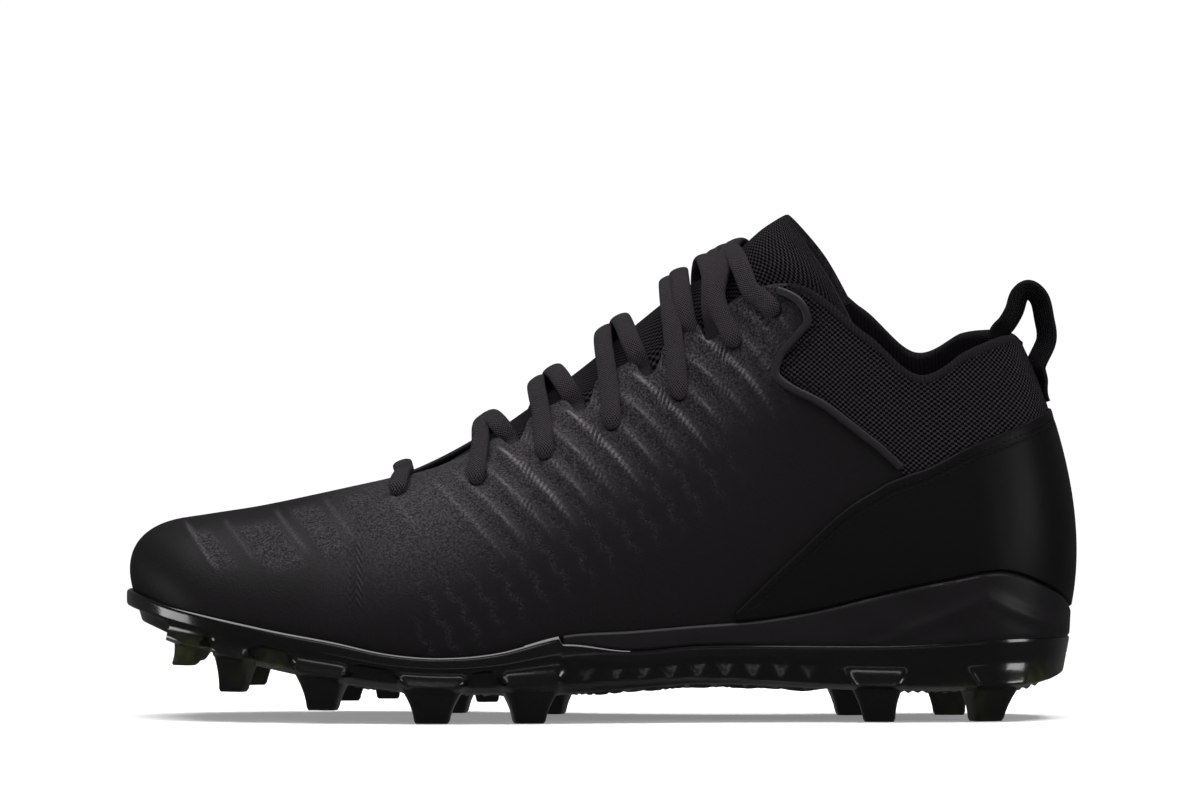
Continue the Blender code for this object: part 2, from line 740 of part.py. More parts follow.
def row_at(along, side):
    """Row at which one side's foot lies at a share of the length."""
    low, high = 0.0, float(LAST_ROW)
    for _ in range(40):
        middle = 0.5 * (low + high)
        if feather(on_ring(middle, side)).x < station(along):
            low = middle
        else:
            high = middle
    return 0.5 * (low + high)


def under_height(along_x, side):
    """Height of the plate's underside at an x on one side."""
    share = along_x / LENGTH + 0.5
    return foot_value("under", on_ring(row_at(share, side), side)) * SOLE_HEIGHT


def stud_section(centre, along, across, size_along, size_across, height):
    """Rectangle with cut corners; height is a number, or a function of x."""
    cut = 0.28
    corners = ((1, -1 + cut), (1, 1 - cut), (1 - cut, 1), (-1 + cut, 1),
               (-1, 1 - cut), (-1, -1 + cut), (-1 + cut, -1), (1 - cut, -1))
    points = []
    for a, b in corners:
        spot = centre + along * (0.5 * a * size_along) + across * (0.5 * b * size_across)
        level = height(spot.x) if callable(height) else height
        points.append(Vector((spot.x, spot.y, level)))
    return points


def stud_blocks():
    """Tapered studs whose roots run up into the plate."""
    body = Body()
    for stud in STUDS:
        side = stud.side if stud.side else -1
        row = row_at(stud.along, side)
        ring = on_ring(row, side)
        if stud.side:
            across = outward(ring)
            centre = feather(ring) - across * (stud.inset * BALL_WIDTH)
            along = Vector((-across.y, across.x, 0.0))
        else:
            centre = feather(ring).lerp(feather(on_ring(row, 1)), 0.5)
            across = Vector((0.0, -1.0, 0.0))
            along = Vector((1.0, 0.0, 0.0))
        under = foot_value("under", ring) * SOLE_HEIGHT
        tip = stud.tip * SOLE_HEIGHT
        drop = under - tip
        lean = Vector((stud.lean * LENGTH, 0.0, 0.0))
        root_along, root_across = stud.root_along * LENGTH, stud.root_across * BALL_WIDTH
        tip_along, tip_across = stud.tip_along * LENGTH, stud.tip_across * BALL_WIDTH

        def root(x, rise=STUD_ROOT, side=side):
            return under_height(x, side) + rise

        def neck(x, rise=-0.10 * drop, side=side):
            return under_height(x, side) + rise

        rings = [
            stud_section(centre, along, across, root_along, root_across, root),
            stud_section(centre + lean * 0.15, along, across, root_along * 0.86, root_across * 0.90, neck),
            stud_section(centre + lean * 0.60, along, across,
                         tip_along + 0.30 * (root_along - tip_along),
                         tip_across + 0.35 * (root_across - tip_across), under - 0.55 * drop),
            stud_section(centre + lean, along, across, tip_along, tip_across, tip),
        ]
        prism(body, rings)
    return body.finish("stud_blocks", (0.010, 0.010, 0.011), 0.18)


def build_midsole():
    """Matte wedge that nests in the plate and rises to the heel wings."""
    front = MIDSOLE_ROW + 0.06
    rows = [front] + [row for row in columns(SOLE_SPANS) if row > front + 0.05]
    places = rows + [2.0 * LAST_ROW - row for row in rows[-2::-1]]

    def floor_point(ring):
        return beside_foot(ring, GAP, floor_height(ring) - GAP)

    def sole_point(ring):
        return beside_foot(ring, -SEAT_INSET, plate_floor(ring) + GAP)

    def knee_point(ring):
        return beside_foot(ring, SEAT_KNEE - GAP, plate_floor(ring) + SEAT_KNEE_RISE + GAP)

    def parting(ring):
        return foot_value("parting", ring) * SOLE_HEIGHT + GAP

    def wing(ring, share):
        low = parting(ring)
        return side_point(ring, low + (rim_height(ring) - low) * share)

    chain = [
        [floor_point(r) for r in places],
        [rim_line(r, 0.5 * (floor_height(r) + rim_height(r)), GAP) for r in places],
        [rim_line(r, rim_height(r), GAP) for r in places],
        [wing(r, 1.0) for r in places],
        [wing(r, 0.5) for r in places],
        [wing(r, 0.0) for r in places],
        [knee_point(r) for r in places],
        [sole_point(r) for r in places],
    ]
    body = Body()
    for first, second in zip(chain, chain[1:]):
        body.band(first, second, closed=False)
    cap(body, rows, floor_point, SOLE_CROSS)
    cap(body, rows, sole_point, SOLE_CROSS)
    # the front end: the two cut sides and the face across
    left = [line[0] for line in chain]
    right = [line[-1] for line in chain]
    body.face(*left)
    body.face(*reversed(right))
    for index in range(SOLE_CROSS):
        a = index / SOLE_CROSS
        b = (index + 1) / SOLE_CROSS
        body.face(left[0].lerp(right[0], a), left[0].lerp(right[0], b),
                  left[-1].lerp(right[-1], b), left[-1].lerp(right[-1], a))
    return body.finish("midsole", (0.016, 0.015, 0.017), 0.62)


def build_insole():
    """Footbed that fills the upper's foot."""
    rows = columns(SOLE_SPANS)
    places = full_ring(rows)

    def edge(ring, up):
        share = share_at(ring, floor_height(ring) + up)
        point = skin(ring, share) - outward(ring) * (UPPER_WALL + 2.0 * GAP)
        point.z = floor_height(ring) + up
        return point

    def low(ring):
        return edge(ring, 0.0)

    def high(ring):
        return edge(ring, INSOLE_THICKNESS)

    body = Body()
    body.band([low(r) for r in places], [high(r) for r in places])
    cap(body, rows, low, INSOLE_CROSS)
    cap(body, rows, high, INSOLE_CROSS)
    return body.finish("insole", (0.020, 0.020, 0.022), 0.85)


def strip_solid(name, lines, colour, rough):
    """Solid between an outer and an inner sheet, each a list of rows of points."""
    outer, inner = lines
    body = Body()
    for sheet in (outer, inner):
        for first, second in zip(sheet, sheet[1:]):
            body.band(first, second, closed=False)
    body.band(outer[0], inner[0], closed=False)
    body.band(outer[-1], inner[-1], closed=False)
    body.band([row[0] for row in outer], [row[0] for row in inner], closed=False)
    body.band([row[-1] for row in outer], [row[-1] for row in inner], closed=False)
    return body.finish(name, colour, rough)


def mark_curve(marks, share, side):
    """Ring place and girth share on a smooth line through marks."""
    spot = through([Vector((mark.row, mark.share, 0.0)) for mark in marks], share)
    return on_ring(spot.x, side), spot.y


def seam_share(row):
    """Girth share of the counter's seam at a row."""
    marks = COUNTER_SEAM
    for first, second in zip(marks, marks[1:]):
        if row <= second.row:
            part = (row - first.row) / (second.row - first.row)
            return first.share + (second.share - first.share) * part
    return marks[-1].share


def build_counter():
    """Heel overlay on the upper, from the sole's rim to its seam."""
    first_row = COUNTER_SEAM[0].row
    rows = [first_row] + [row for row in upper_columns() if row > first_row + 0.1]
    places = rows + [2.0 * LAST_ROW - row for row in rows[-2::-1]]
    levels = 5
    outer = []
    inner = []
    for level in range(levels + 1):
        out_row = []
        in_row = []
        for ring in places:
            low = share_at(ring, rim_height(ring) + 2.0 * GAP)
            high = max(seam_share(side_of(ring)[0]), low + 0.012)
            share = low + (high - low) * level / levels
            out_row.append(beyond(ring, share, GAP + COUNTER_WALL))
            in_row.append(beyond(ring, share, GAP))
        outer.append(out_row)
        inner.append(in_row)
    return strip_solid("heel_counter", (outer, inner), (0.008, 0.007, 0.009), 0.55)


def build_quarter_edge(side):
    """Raised rolled seam where the quarter laps the collar mesh."""
    steps = 22
    half = 0.5 * PIPING_WIDTH
    line = []
    for index in range(steps + 1):
        ring, share = mark_curve(QUARTER_EDGE, index / steps, side)
        line.append((ring, share))
    rings = []
    for index, (ring, share) in enumerate(line):
        before = line[max(index - 1, 0)]
        after = line[min(index + 1, steps)]
        run = (skin(*after) - skin(*before)).normalized()
        out = normal(ring, share)
        across = out.cross(run).normalized()
        base = skin(ring, share)
        rings.append([
            base + across * half + out * GAP * 1.6,
            base + across * (0.55 * half) + out * (GAP + PIPING_HEIGHT),
            base - across * (0.55 * half) + out * (GAP + PIPING_HEIGHT),
            base - across * half + out * GAP * 1.6,
        ])
    body = Body()
    prism(body, rings)
    name = "quarter_edge_lateral" if side < 0 else "quarter_edge_medial"
    return body.finish(name, (0.014, 0.013, 0.015), 0.6)


def arch(row, start, start_run, end, end_run, share):
    """Point of a curve over the throat at a row, which leaves two ends along their runs."""
    lean = ARCH_REACH_LOW + (ARCH_REACH_HIGH - ARCH_REACH_LOW) * smooth(row, *ARCH_ROWS)
    reach = lean * (end - start).length
    low = start + start_run * reach
    high = end + end_run * reach
    s = 1.0 - share
    return start * s ** 3 + low * (3 * s * s * share) + high * (3 * s * share ** 2) + end * share ** 3


def bridge(row, share, lift):
    """Point over the throat between its two edges, share 0 lateral to 1 medial."""
    ends = []
    for side in (-1, 1):
        ring = on_ring(row, side)
        ends.append(skin(ring, 1.0) + normal(ring, 0.97) * lift)
        ends.append((skin(ring, 1.0) - skin(ring, 0.94)).normalized())
    return arch(row, ends[0], ends[1], ends[2], ends[3], share)


def tongue_row(row, lap=TONGUE_LAP, middle=None, edge_lift=0.0):
    """Points of the tongue's outer face: inside the eyestay or collar, and across the opening."""
    raised = Vector((0.0, 0.0, edge_lift))
    sides = []
    for side in (-1, 1):
        ring = on_ring(row, side)
        sides.append([inside(ring, 1.0 - lap * part, TONGUE_CLEAR) + raised for part in (1.0, 0.5, 0.0)])
    start_run = (sides[0][-1] - sides[0][-2]).normalized()
    end_run = (sides[1][-1] - sides[1][-2]).normalized()
    across = []
    for index in range(TONGUE_CROSS + 1):
        share = index / TONGUE_CROSS
        across.append(arch(row, sides[0][-1], start_run, sides[1][-1], end_run, share))
    if middle is not None:
        shift = middle - across[TONGUE_CROSS // 2]
        shift.y = 0.0
        for index in range(1, TONGUE_CROSS):
            across[index] += shift * math.sin(math.pi * index / TONGUE_CROSS) ** 1.4
    return sides[0][:2] + across + sides[1][1::-1]


def build_tongue():
    """Padded tongue from under the vamp to its flared top."""
    outer = []
    steps = 8
    for index in range(steps + 1):
        row = TONGUE_FOOT_ROW + (TONGUE_LAST_ROW - TONGUE_FOOT_ROW) * index / steps
        outer.append(tongue_row(row))
    for entry in TONGUE_FREE:
        middle = Vector((station(entry.along), 0.0, entry.height * INSTEP_HEIGHT))
        outer.append(tongue_row(entry.row, entry.lap, middle, entry.edge_lift))
    inner = []
    for index, line in enumerate(outer):
        before = outer[max(index - 1, 0)]
        after = outer[min(index + 1, len(outer) - 1)]
        deep = []
        for spot in range(len(line)):
            left = line[max(spot - 1, 0)]
            right = line[min(spot + 1, len(line) - 1)]
            across = right - left
            along = after[spot] - before[spot]
            down = across.cross(along).normalized()
            if down.z > 0:
                down.negate()
            deep.append(line[spot] + down * TONGUE_THICKNESS)
        inner.append(deep)
    return strip_solid("tongue", (outer, inner), (0.012, 0.011, 0.013), 0.8)


def build_pull_loop():
    """Webbing loop: up the heel, over, and down inside the collar, with a half turn of twist."""
    heel = float(LAST_ROW)
    standoff = GAP + 0.5 * LOOP_THICKNESS
    points = []
    for height in LOOP_SEWN:
        share = share_at(heel, height * HEEL_HEIGHT)
        points.append(beyond(heel, share, standoff + GAP))
    for entry in LOOP_TOP:
        points.append(Vector((station(entry.along), 0.0, entry.height * HEEL_HEIGHT)))
    for share in LOOP_TUCKED:
        points.append(inside(heel, share, standoff + LOOP_BOW))
    steps = 24
    rings = []
    for index in range(steps + 1):
        share = index / steps
        place = through(points, share)
        run = direction(points, share, 0.01)
        twist = LOOP_TWIST * (bump(share, 0.31, 0.16) + bump(share, 0.60, 0.13))
        flat = Vector((0.0, 1.0, 0.0))
        thick = run.cross(flat).normalized()
        wide = flat * math.cos(twist) + thick * math.sin(twist)
        deep = run.cross(wide).normalized()
        rings.append([
            place + wide * (0.5 * LOOP_WIDTH) + deep * (0.5 * LOOP_THICKNESS),
            place - wide * (0.5 * LOOP_WIDTH) + deep * (0.5 * LOOP_THICKNESS),
            place - wide * (0.5 * LOOP_WIDTH) - deep * (0.5 * LOOP_THICKNESS),
            place + wide * (0.5 * LOOP_WIDTH) - deep * (0.5 * LOOP_THICKNESS),
        ])
    body = Body()
    prism(body, rings)
    return body.finish("pull_loop", (0.010, 0.009, 0.011), 0.75)


def lace_tube(body, points, outs):
    """Flat oval tube of six sides through points, its flat face along the outs."""
    steps = 9
    rings = []
    for index in range(steps + 1):
        share = index / steps
        place = through(points, share)
        run = direction(points, share, 0.02)
        out = through(outs, share).normalized()
        across = run.cross(out).normalized()
        up = across.cross(run).normalized()
        ring = []
        for corner in range(6):
            angle = math.pi * corner / 3.0
            ring.append(place + across * (0.5 * LACE_WIDTH * math.cos(angle))
                        + up * (0.5 * LACE_THICKNESS / math.cos(math.pi / 6.0) * math.sin(angle)))
        rings.append(ring)
    prism(body, rings)


def lace_run(index, side):
    """Path of the strand that enters eyelet index on one side, and its outward directions."""
    eyelet = EYELETS[index]
    lift = 2.0 * GAP + 0.5 * LACE_THICKNESS
    end_row = eyelet.over_medial if side < 0 else eyelet.over_lateral
    edge_row = eyelet.row + 0.4 * (end_row - eyelet.row)
    points = []
    outs = []
    for part in (0.10, 0.55, 1.0):
        ring = on_ring(eyelet.row + (edge_row - eyelet.row) * part, side)
        share = eyelet.share + (1.0 - eyelet.share) * part
        outs.append(normal(ring, min(share, 0.97)))
        points.append(skin(ring, share) + outs[-1] * lift)
    for part in (0.2, 0.4, 0.6, 0.8, 0.94):
        row = edge_row + (end_row - edge_row) * part
        spot = part if side < 0 else 1.0 - part
        low = bridge(row, spot, 0.0)
        outs.append((bridge(row, spot, LACE_THICKNESS) - low).normalized())
        points.append(low + outs[-1] * (lift + LACE_ARCH * math.sin(math.pi * part)))
    return points, outs


def lace_strands(name, strands):
    """One solid from strands that cross or touch."""
    first = Body()
    lace_tube(first, *strands[0])
    lace = first.finish(name, (0.016, 0.015, 0.017), 0.8)
    for index, strand in enumerate(strands[1:]):
        other = Body()
        lace_tube(other, *strand)
        tool = other.finish(name + "_operand_" + str(index), (0.016, 0.015, 0.017), 0.8)
        combine(lace, tool, "UNION")
    return lace


def build_laces():
    """The lace over the throat: a bar at the first eyelets, crossings above, the top two joined."""
    left, left_outs = lace_run(0, -1)
    right, right_outs = lace_run(0, 1)
    bar = left[:5] + right[3::-1]
    lace_strands("lace_bar_1", [(bar, left_outs[:5] + right_outs[3::-1])])
    top = len(EYELETS) - 1
    for index in range(1, top - 1):
        lace_strands("lace_cross_" + str(index + 1), [lace_run(index, -1), lace_run(index, 1)])
    runs = [lace_run(index, side) for index in (top - 1, top) for side in (-1, 1)]
    lace_strands("lace_cross_top", runs)


def stand_at_origin():
    """Carry the shoe on one empty, with the middle of its underside at the origin."""
    root = bpy.data.objects.new("cleat", None)
    bpy.context.scene.collection.objects.link(root)
    shoe = [item for item in bpy.data.objects if item.type == "MESH"]
    for item in shoe:
        item.parent = root
    bpy.context.view_layer.update()
    state = bpy.context.evaluated_depsgraph_get()
    corners = []
    for item in shoe:
        if not item.hide_render:
            done = item.evaluated_get(state)
            corners += [done.matrix_world @ Vector(corner) for corner in done.bound_box]
    low = [min(corner[axis] for corner in corners) for axis in range(3)]
    high = [max(corner[axis] for corner in corners) for axis in range(3)]
    root.location = (-0.5 * (low[0] + high[0]), -0.5 * (low[1] + high[1]), -low[2])


def main():
    """Build every piece."""
    clear_scene()
    build_upper()
    build_outsole()
    build_midsole()
    build_insole()
    build_counter()
    build_quarter_edge(-1)
    build_quarter_edge(1)
    build_tongue()
    build_pull_loop()
    build_laces()
    stand_at_origin()


main()
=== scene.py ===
"""American football cleat, a left shoe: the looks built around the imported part.

Toe at -X, heel at +X, lateral side at -Y, metres, floor at z = 0. The same sections that shape
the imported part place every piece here.
"""

import logging
import math
from collections.abc import Callable
from dataclasses import dataclass
from enum import Enum, IntEnum

import bmesh
import bpy
import numpy as np
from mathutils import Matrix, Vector


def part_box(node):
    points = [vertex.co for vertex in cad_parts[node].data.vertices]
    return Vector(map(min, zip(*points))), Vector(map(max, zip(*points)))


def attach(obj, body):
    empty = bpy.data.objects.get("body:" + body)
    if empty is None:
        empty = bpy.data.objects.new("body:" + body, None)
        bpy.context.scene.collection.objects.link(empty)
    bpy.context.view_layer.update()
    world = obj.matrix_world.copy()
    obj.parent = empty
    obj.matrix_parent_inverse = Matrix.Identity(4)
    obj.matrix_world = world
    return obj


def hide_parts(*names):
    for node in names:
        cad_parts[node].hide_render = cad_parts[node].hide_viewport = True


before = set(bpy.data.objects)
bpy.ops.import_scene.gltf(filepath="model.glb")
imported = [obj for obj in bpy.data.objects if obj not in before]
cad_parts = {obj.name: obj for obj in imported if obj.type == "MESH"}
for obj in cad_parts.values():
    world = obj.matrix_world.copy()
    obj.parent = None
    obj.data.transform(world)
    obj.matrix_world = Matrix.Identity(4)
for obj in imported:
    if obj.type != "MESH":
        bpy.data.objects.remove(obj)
LOG = logging.getLogger("cleat")
MM = 0.001

Array = np.ndarray
Tree = bpy.types.NodeTree
Socket = bpy.types.NodeSocket
Object = bpy.types.Object
Numbers = float | np.ndarray


class Side(Enum):
    """Side of the shoe, with its sign along Y."""

    LATERAL = -1
    MEDIAL = 1


@dataclass(frozen=True)
class ShoeSizes:
    """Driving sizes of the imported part, in metres."""

    length: float = 0.295
    ball_width: float = 0.103
    instep_height: float = 0.134
    heel_height: float = 0.118
    sole_height: float = 0.0465
    gap: float = 0.0003
    upper_wall: float = 0.0020
    collar_wall: float = 0.0055
    counter_wall: float = 0.0012
    piping_width: float = 0.0026
    piping_height: float = 0.0011
    rim_lip: float = 0.0013
    rim_swell: float = 0.0007
    sole_tuck: float = 0.0030
    sole_hem: float = 0.0030
    seat_inset: float = 0.0020
    insole_thickness: float = 0.0035
    midsole_front: float = 0.0012
    plate_thickness: float = 0.0032
    tongue_thickness: float = 0.0038
    tongue_clear: float = 0.0010
    notch_depth: float = 0.0085
    notch_share: float = 0.52
    notch_shift: float = 0.10
    eyelet_radius: float = 0.0021
    lace_width: float = 0.0062
    lace_thickness: float = 0.0022
    lace_arch: float = 0.0014
    loop_width: float = 0.0095
    loop_thickness: float = 0.0014


SIZES = ShoeSizes()
LAST_ROW = 18
THROAT_ROW = 5
COLLAR_ROW = 13
MIDSOLE_ROW = 8.93

# A row for each section from toe to heel
FOOT_NAMES = ("along", "lateral", "medial", "floor", "rim", "parting", "under")
FOOT = np.array((
    (0.0140, -0.087, 0.087, 0.705, 0.862, 0.862, 0.590),
    (0.0225, 0.060, 0.215, 0.690, 0.845, 0.845, 0.575),
    (0.0550, 0.223, 0.335, 0.615, 0.770, 0.770, 0.505),
    (0.1000, 0.315, 0.393, 0.527, 0.700, 0.700, 0.425),
    (0.1600, 0.383, 0.437, 0.440, 0.620, 0.620, 0.335),
    (0.2200, 0.432, 0.461, 0.376, 0.552, 0.552, 0.270),
    (0.2750, 0.461, 0.461, 0.323, 0.478, 0.478, 0.226),
    (0.3300, 0.476, 0.447, 0.297, 0.450, 0.450, 0.202),
    (0.3900, 0.471, 0.403, 0.301, 0.482, 0.482, 0.198),
    (0.4600, 0.442, 0.340, 0.355, 0.592, 0.545, 0.198),
    (0.5300, 0.403, 0.282, 0.409, 0.618, 0.500, 0.226),
    (0.6000, 0.369, 0.248, 0.441, 0.652, 0.532, 0.256),
    (0.6700, 0.345, 0.248, 0.462, 0.685, 0.535, 0.247),
    (0.7400, 0.335, 0.267, 0.473, 0.762, 0.530, 0.222),
    (0.8100, 0.335, 0.296, 0.473, 0.868, 0.530, 0.209),
    (0.8700, 0.325, 0.306, 0.473, 0.945, 0.548, 0.209),
    (0.9250, 0.286, 0.282, 0.473, 0.996, 0.572, 0.215),
    (0.9650, 0.178, 0.178, 0.473, 0.862, 0.570, 0.240),
    (0.9795, 0.000, 0.000, 0.473, 0.735, 0.566, 0.290),
))
TOP_NAMES = ("along", "centre", "open_l", "open_m", "height", "medial_rise", "follows_heel",
             "flare", "rise", "crown", "fall")
TOP = np.array((
    (0.0860, 0.070, 0.000, 0.000, 0.470, 0.000, 0.0, 0.088, 0.57, 0.230, 0.00),
    (0.0940, 0.070, 0.000, 0.000, 0.473, 0.000, 0.0, 0.088, 0.56, 0.230, 0.00),
    (0.1180, 0.069, 0.000, 0.000, 0.483, 0.000, 0.0, 0.084, 0.53, 0.235, 0.00),
    (0.1580, 0.068, 0.000, 0.000, 0.500, 0.000, 0.0, 0.075, 0.47, 0.240, 0.00),
    (0.2060, 0.065, 0.000, 0.000, 0.523, 0.000, 0.0, 0.068, 0.45, 0.275, 0.00),
    (0.2500, 0.060, 0.000, 0.000, 0.545, 0.000, 0.0, 0.062, 0.43, 0.300, 0.01),
    (0.2880, 0.056, 0.070, 0.060, 0.563, 0.002, 0.0, 0.058, 0.42, 0.280, 0.04),
    (0.3350, 0.052, 0.115, 0.100, 0.594, 0.016, 0.0, 0.056, 0.41, 0.250, 0.08),
    (0.3900, 0.050, 0.140, 0.130, 0.657, 0.022, 0.0, 0.056, 0.40, 0.215, 0.12),
    (0.4550, 0.050, 0.157, 0.150, 0.739, 0.034, 0.0, 0.055, 0.39, 0.180, 0.16),
    (0.5250, 0.050, 0.168, 0.160, 0.825, 0.067, 0.0, 0.053, 0.38, 0.150, 0.20),
    (0.5950, 0.050, 0.178, 0.168, 0.912, 0.078, 0.0, 0.053, 0.36, 0.125, 0.24),
    (0.6600, 0.048, 0.195, 0.178, 0.998, 0.052, 0.0, 0.058, 0.35, 0.100, 0.26),
    (0.7150, 0.040, 0.270, 0.240, 1.060, 0.055, 0.5, 0.064, 0.34, 0.060, 0.30),
    (0.7750, 0.015, 0.305, 0.300, 1.013, 0.055, 1.0, 0.070, 0.33, 0.030, 0.34),
    (0.8350, 0.005, 0.315, 0.315, 0.899, 0.048, 1.0, 0.080, 0.33, 0.030, 0.38),
    (0.8880, 0.000, 0.280, 0.285, 0.962, 0.038, 1.0, 0.095, 0.33, 0.050, 0.38),
    (0.9300, 0.000, 0.180, 0.185, 1.003, 0.010, 1.0, 0.117, 0.34, 0.092, 0.30),
    (0.9440, 0.000, 0.000, 0.000, 1.000, 0.000, 1.0, 0.130, 0.34, 0.104, 0.27),
))
# row, girth share, rows at which the strand reaches the medial and the lateral throat edge
EYELETS = (
    (6.12, 0.80, 6.10, 6.10), (7.62, 0.78, 7.95, 8.15), (8.72, 0.785, 8.80, 9.20),
    (9.74, 0.80, 9.80, 10.20), (10.77, 0.805, 10.72, 10.96), (11.67, 0.88, 11.15, 11.32),
    (12.42, 0.93, 11.35, 11.35),
)
# along, side, inset, root along, root across, tip along, tip across, tip height, lean
STUDS = (
    (0.062, -1, 0.078, 0.0424, 0.126, 0.0271, 0.0485, 0.370, -0.0203),
    (0.070, 1, 0.078, 0.0424, 0.126, 0.0271, 0.0485, 0.360, -0.0169),
    (0.110, -1, 0.068, 0.0441, 0.136, 0.0288, 0.0583, 0.200, -0.0068),
    (0.130, 1, 0.068, 0.0441, 0.136, 0.0288, 0.0583, 0.190, -0.0068),
    (0.205, -1, 0.068, 0.0644, 0.146, 0.0322, 0.0680, 0.085, -0.0034),
    (0.230, 1, 0.068, 0.0644, 0.146, 0.0322, 0.0680, 0.080, -0.0034),
    (0.323, -1, 0.068, 0.0780, 0.155, 0.0373, 0.0777, 0.000, -0.0017),
    (0.345, 1, 0.068, 0.0780, 0.155, 0.0373, 0.0777, 0.000, 0.0000),
    (0.428, -1, 0.068, 0.0712, 0.146, 0.0339, 0.0728, 0.000, 0.0000),
    (0.452, 1, 0.068, 0.0712, 0.146, 0.0339, 0.0728, 0.000, 0.0000),
    (0.790, -1, 0.068, 0.0644, 0.146, 0.0339, 0.0728, 0.000, 0.0034),
    (0.760, 1, 0.068, 0.0644, 0.146, 0.0339, 0.0728, 0.000, 0.0034),
    (0.920, -1, 0.078, 0.0678, 0.146, 0.0339, 0.0777, 0.000, -0.0034),
    (0.868, 1, 0.078, 0.0593, 0.146, 0.0339, 0.0728, 0.000, 0.0034),
    (0.957, 1, 0.107, 0.0373, 0.117, 0.0237, 0.0583, 0.185, -0.0102),
    (0.275, 0, 0.000, 0.0441, 0.097, 0.0237, 0.0583, 0.130, 0.0000),
    (0.380, 0, 0.000, 0.0441, 0.097, 0.0237, 0.0583, 0.110, 0.0000),
)
# row and girth share along the seams
COUNTER_SEAM = np.array((
    (11.60, 0.121), (12.2, 0.212), (12.9, 0.322), (13.7, 0.466), (14.4, 0.587), (14.75, 0.648),
    (15.1, 0.690), (15.5, 0.708), (15.9, 0.713), (16.6, 0.727), (17.3, 0.752), (18.0, 0.770),
))
QUARTER_EDGE = np.array((
    (12.50, 0.985), (12.92, 0.965), (13.05, 0.92), (12.80, 0.86), (12.48, 0.80), (12.40, 0.75),
    (12.75, 0.712), (13.40, 0.694), (13.95, 0.674), (14.50, 0.636),
))
# row, lap, along, height, edge lift
TONGUE_FREE = (
    (12.05, 0.20, 0.650, 1.094, 0.0), (12.65, 0.16, 0.668, 1.132, 0.0),
    (13.25, 0.11, 0.684, 1.157, 0.0), (13.75, 0.05, 0.694, 1.170, 0.0010),
    (14.05, 0.01, 0.698, 1.172, 0.0055),
)
TONGUE_FOOT_ROW = 5.6
TONGUE_LAST_ROW = 11.45
TONGUE_LAP = 0.22
LOOP_SEWN = (0.835, 0.880, 0.925)
LOOP_TUCKED = (0.985, 0.940, 0.900, 0.865)
LOOP_TOP = (
    (0.9715, 1.000), (0.9690, 1.060), (0.9640, 1.110), (0.9530, 1.134), (0.9430, 1.118),
    (0.9375, 1.078), (0.9300, 1.045), (0.9205, 1.015),
)


def smooth(value: Numbers, low: float, high: float) -> Array:
    """Soft step from 0 at low to 1 at high, for numbers or arrays."""
    share = np.clip((np.asarray(value, float) - low) / (high - low), 0.0, 1.0)
    return share * share * (3.0 - 2.0 * share)


def hump(value: Numbers, middle: float, half: float) -> Array:
    """Soft hump of height 1 at the middle, 0 beyond half on either side."""
    return 1.0 - smooth(np.abs(np.asarray(value, float) - middle), 0.0, half)


def unit(vectors: Array) -> Array:
    """Vectors at length 1."""
    return vectors / np.maximum(np.linalg.norm(vectors, axis=-1, keepdims=True), 1e-12)


def catmull(before: Array, start: Array, end: Array, after: Array, t: Array) -> Array:
    """Catmull-Rom value between start and end.

    Args:
        before: value one step before the start.
        start: value at t = 0.
        end: value at t = 1.
        after: value one step after the end.
        t: places between the two.

    Returns:
        The value at t.
    """
    slope_a = 0.5 * (end - before)
    slope_b = 0.5 * (after - start)
    a = 2.0 * start - 2.0 * end + slope_a + slope_b
    b = -3.0 * start + 3.0 * end - 2.0 * slope_a - slope_b
    return ((a * t + b) * t + slope_a) * t + start


def through(points: Array | list[Array], shares: Array) -> Array:
    """Smooth curve through a list of points, at shares from 0 to 1 of the list.

    Args:
        points: array of K points.
        shares: array of places along the list.

    Returns:
        Array of the curve's points.
    """
    points = np.asarray(points, float)
    count = len(points)
    place = np.clip(np.asarray(shares, float), 0.0, 1.0) * (count - 1)
    index = np.minimum(place.astype(int), count - 2)
    t = (place - index)[:, None]
    picks = [points[np.clip(index + step, 0, count - 1)] for step in (-1, 0, 1, 2)]
    return catmull(*picks, t)


def refine(grid: Array, rows: Array, columns: Array) -> Array:
    """Smooth surface through a coarse grid of points.

    Args:
        grid: array of shape (R, C, 3).
        rows: shares at which rows are wanted.
        columns: shares at which columns are wanted.

    Returns:
        Array of the surface's points.
    """
    lines = np.stack([through(grid[:, index], rows) for index in range(grid.shape[1])], axis=1)
    return np.stack([through(line, columns) for line in lines])


def bernstein(t: Array) -> Array:
    """Cubic Bernstein weights, last axis of size 4."""
    s = 1.0 - t
    return np.stack([s ** 3, 3 * s * s * t, 3 * s * t * t, t ** 3], axis=-1)


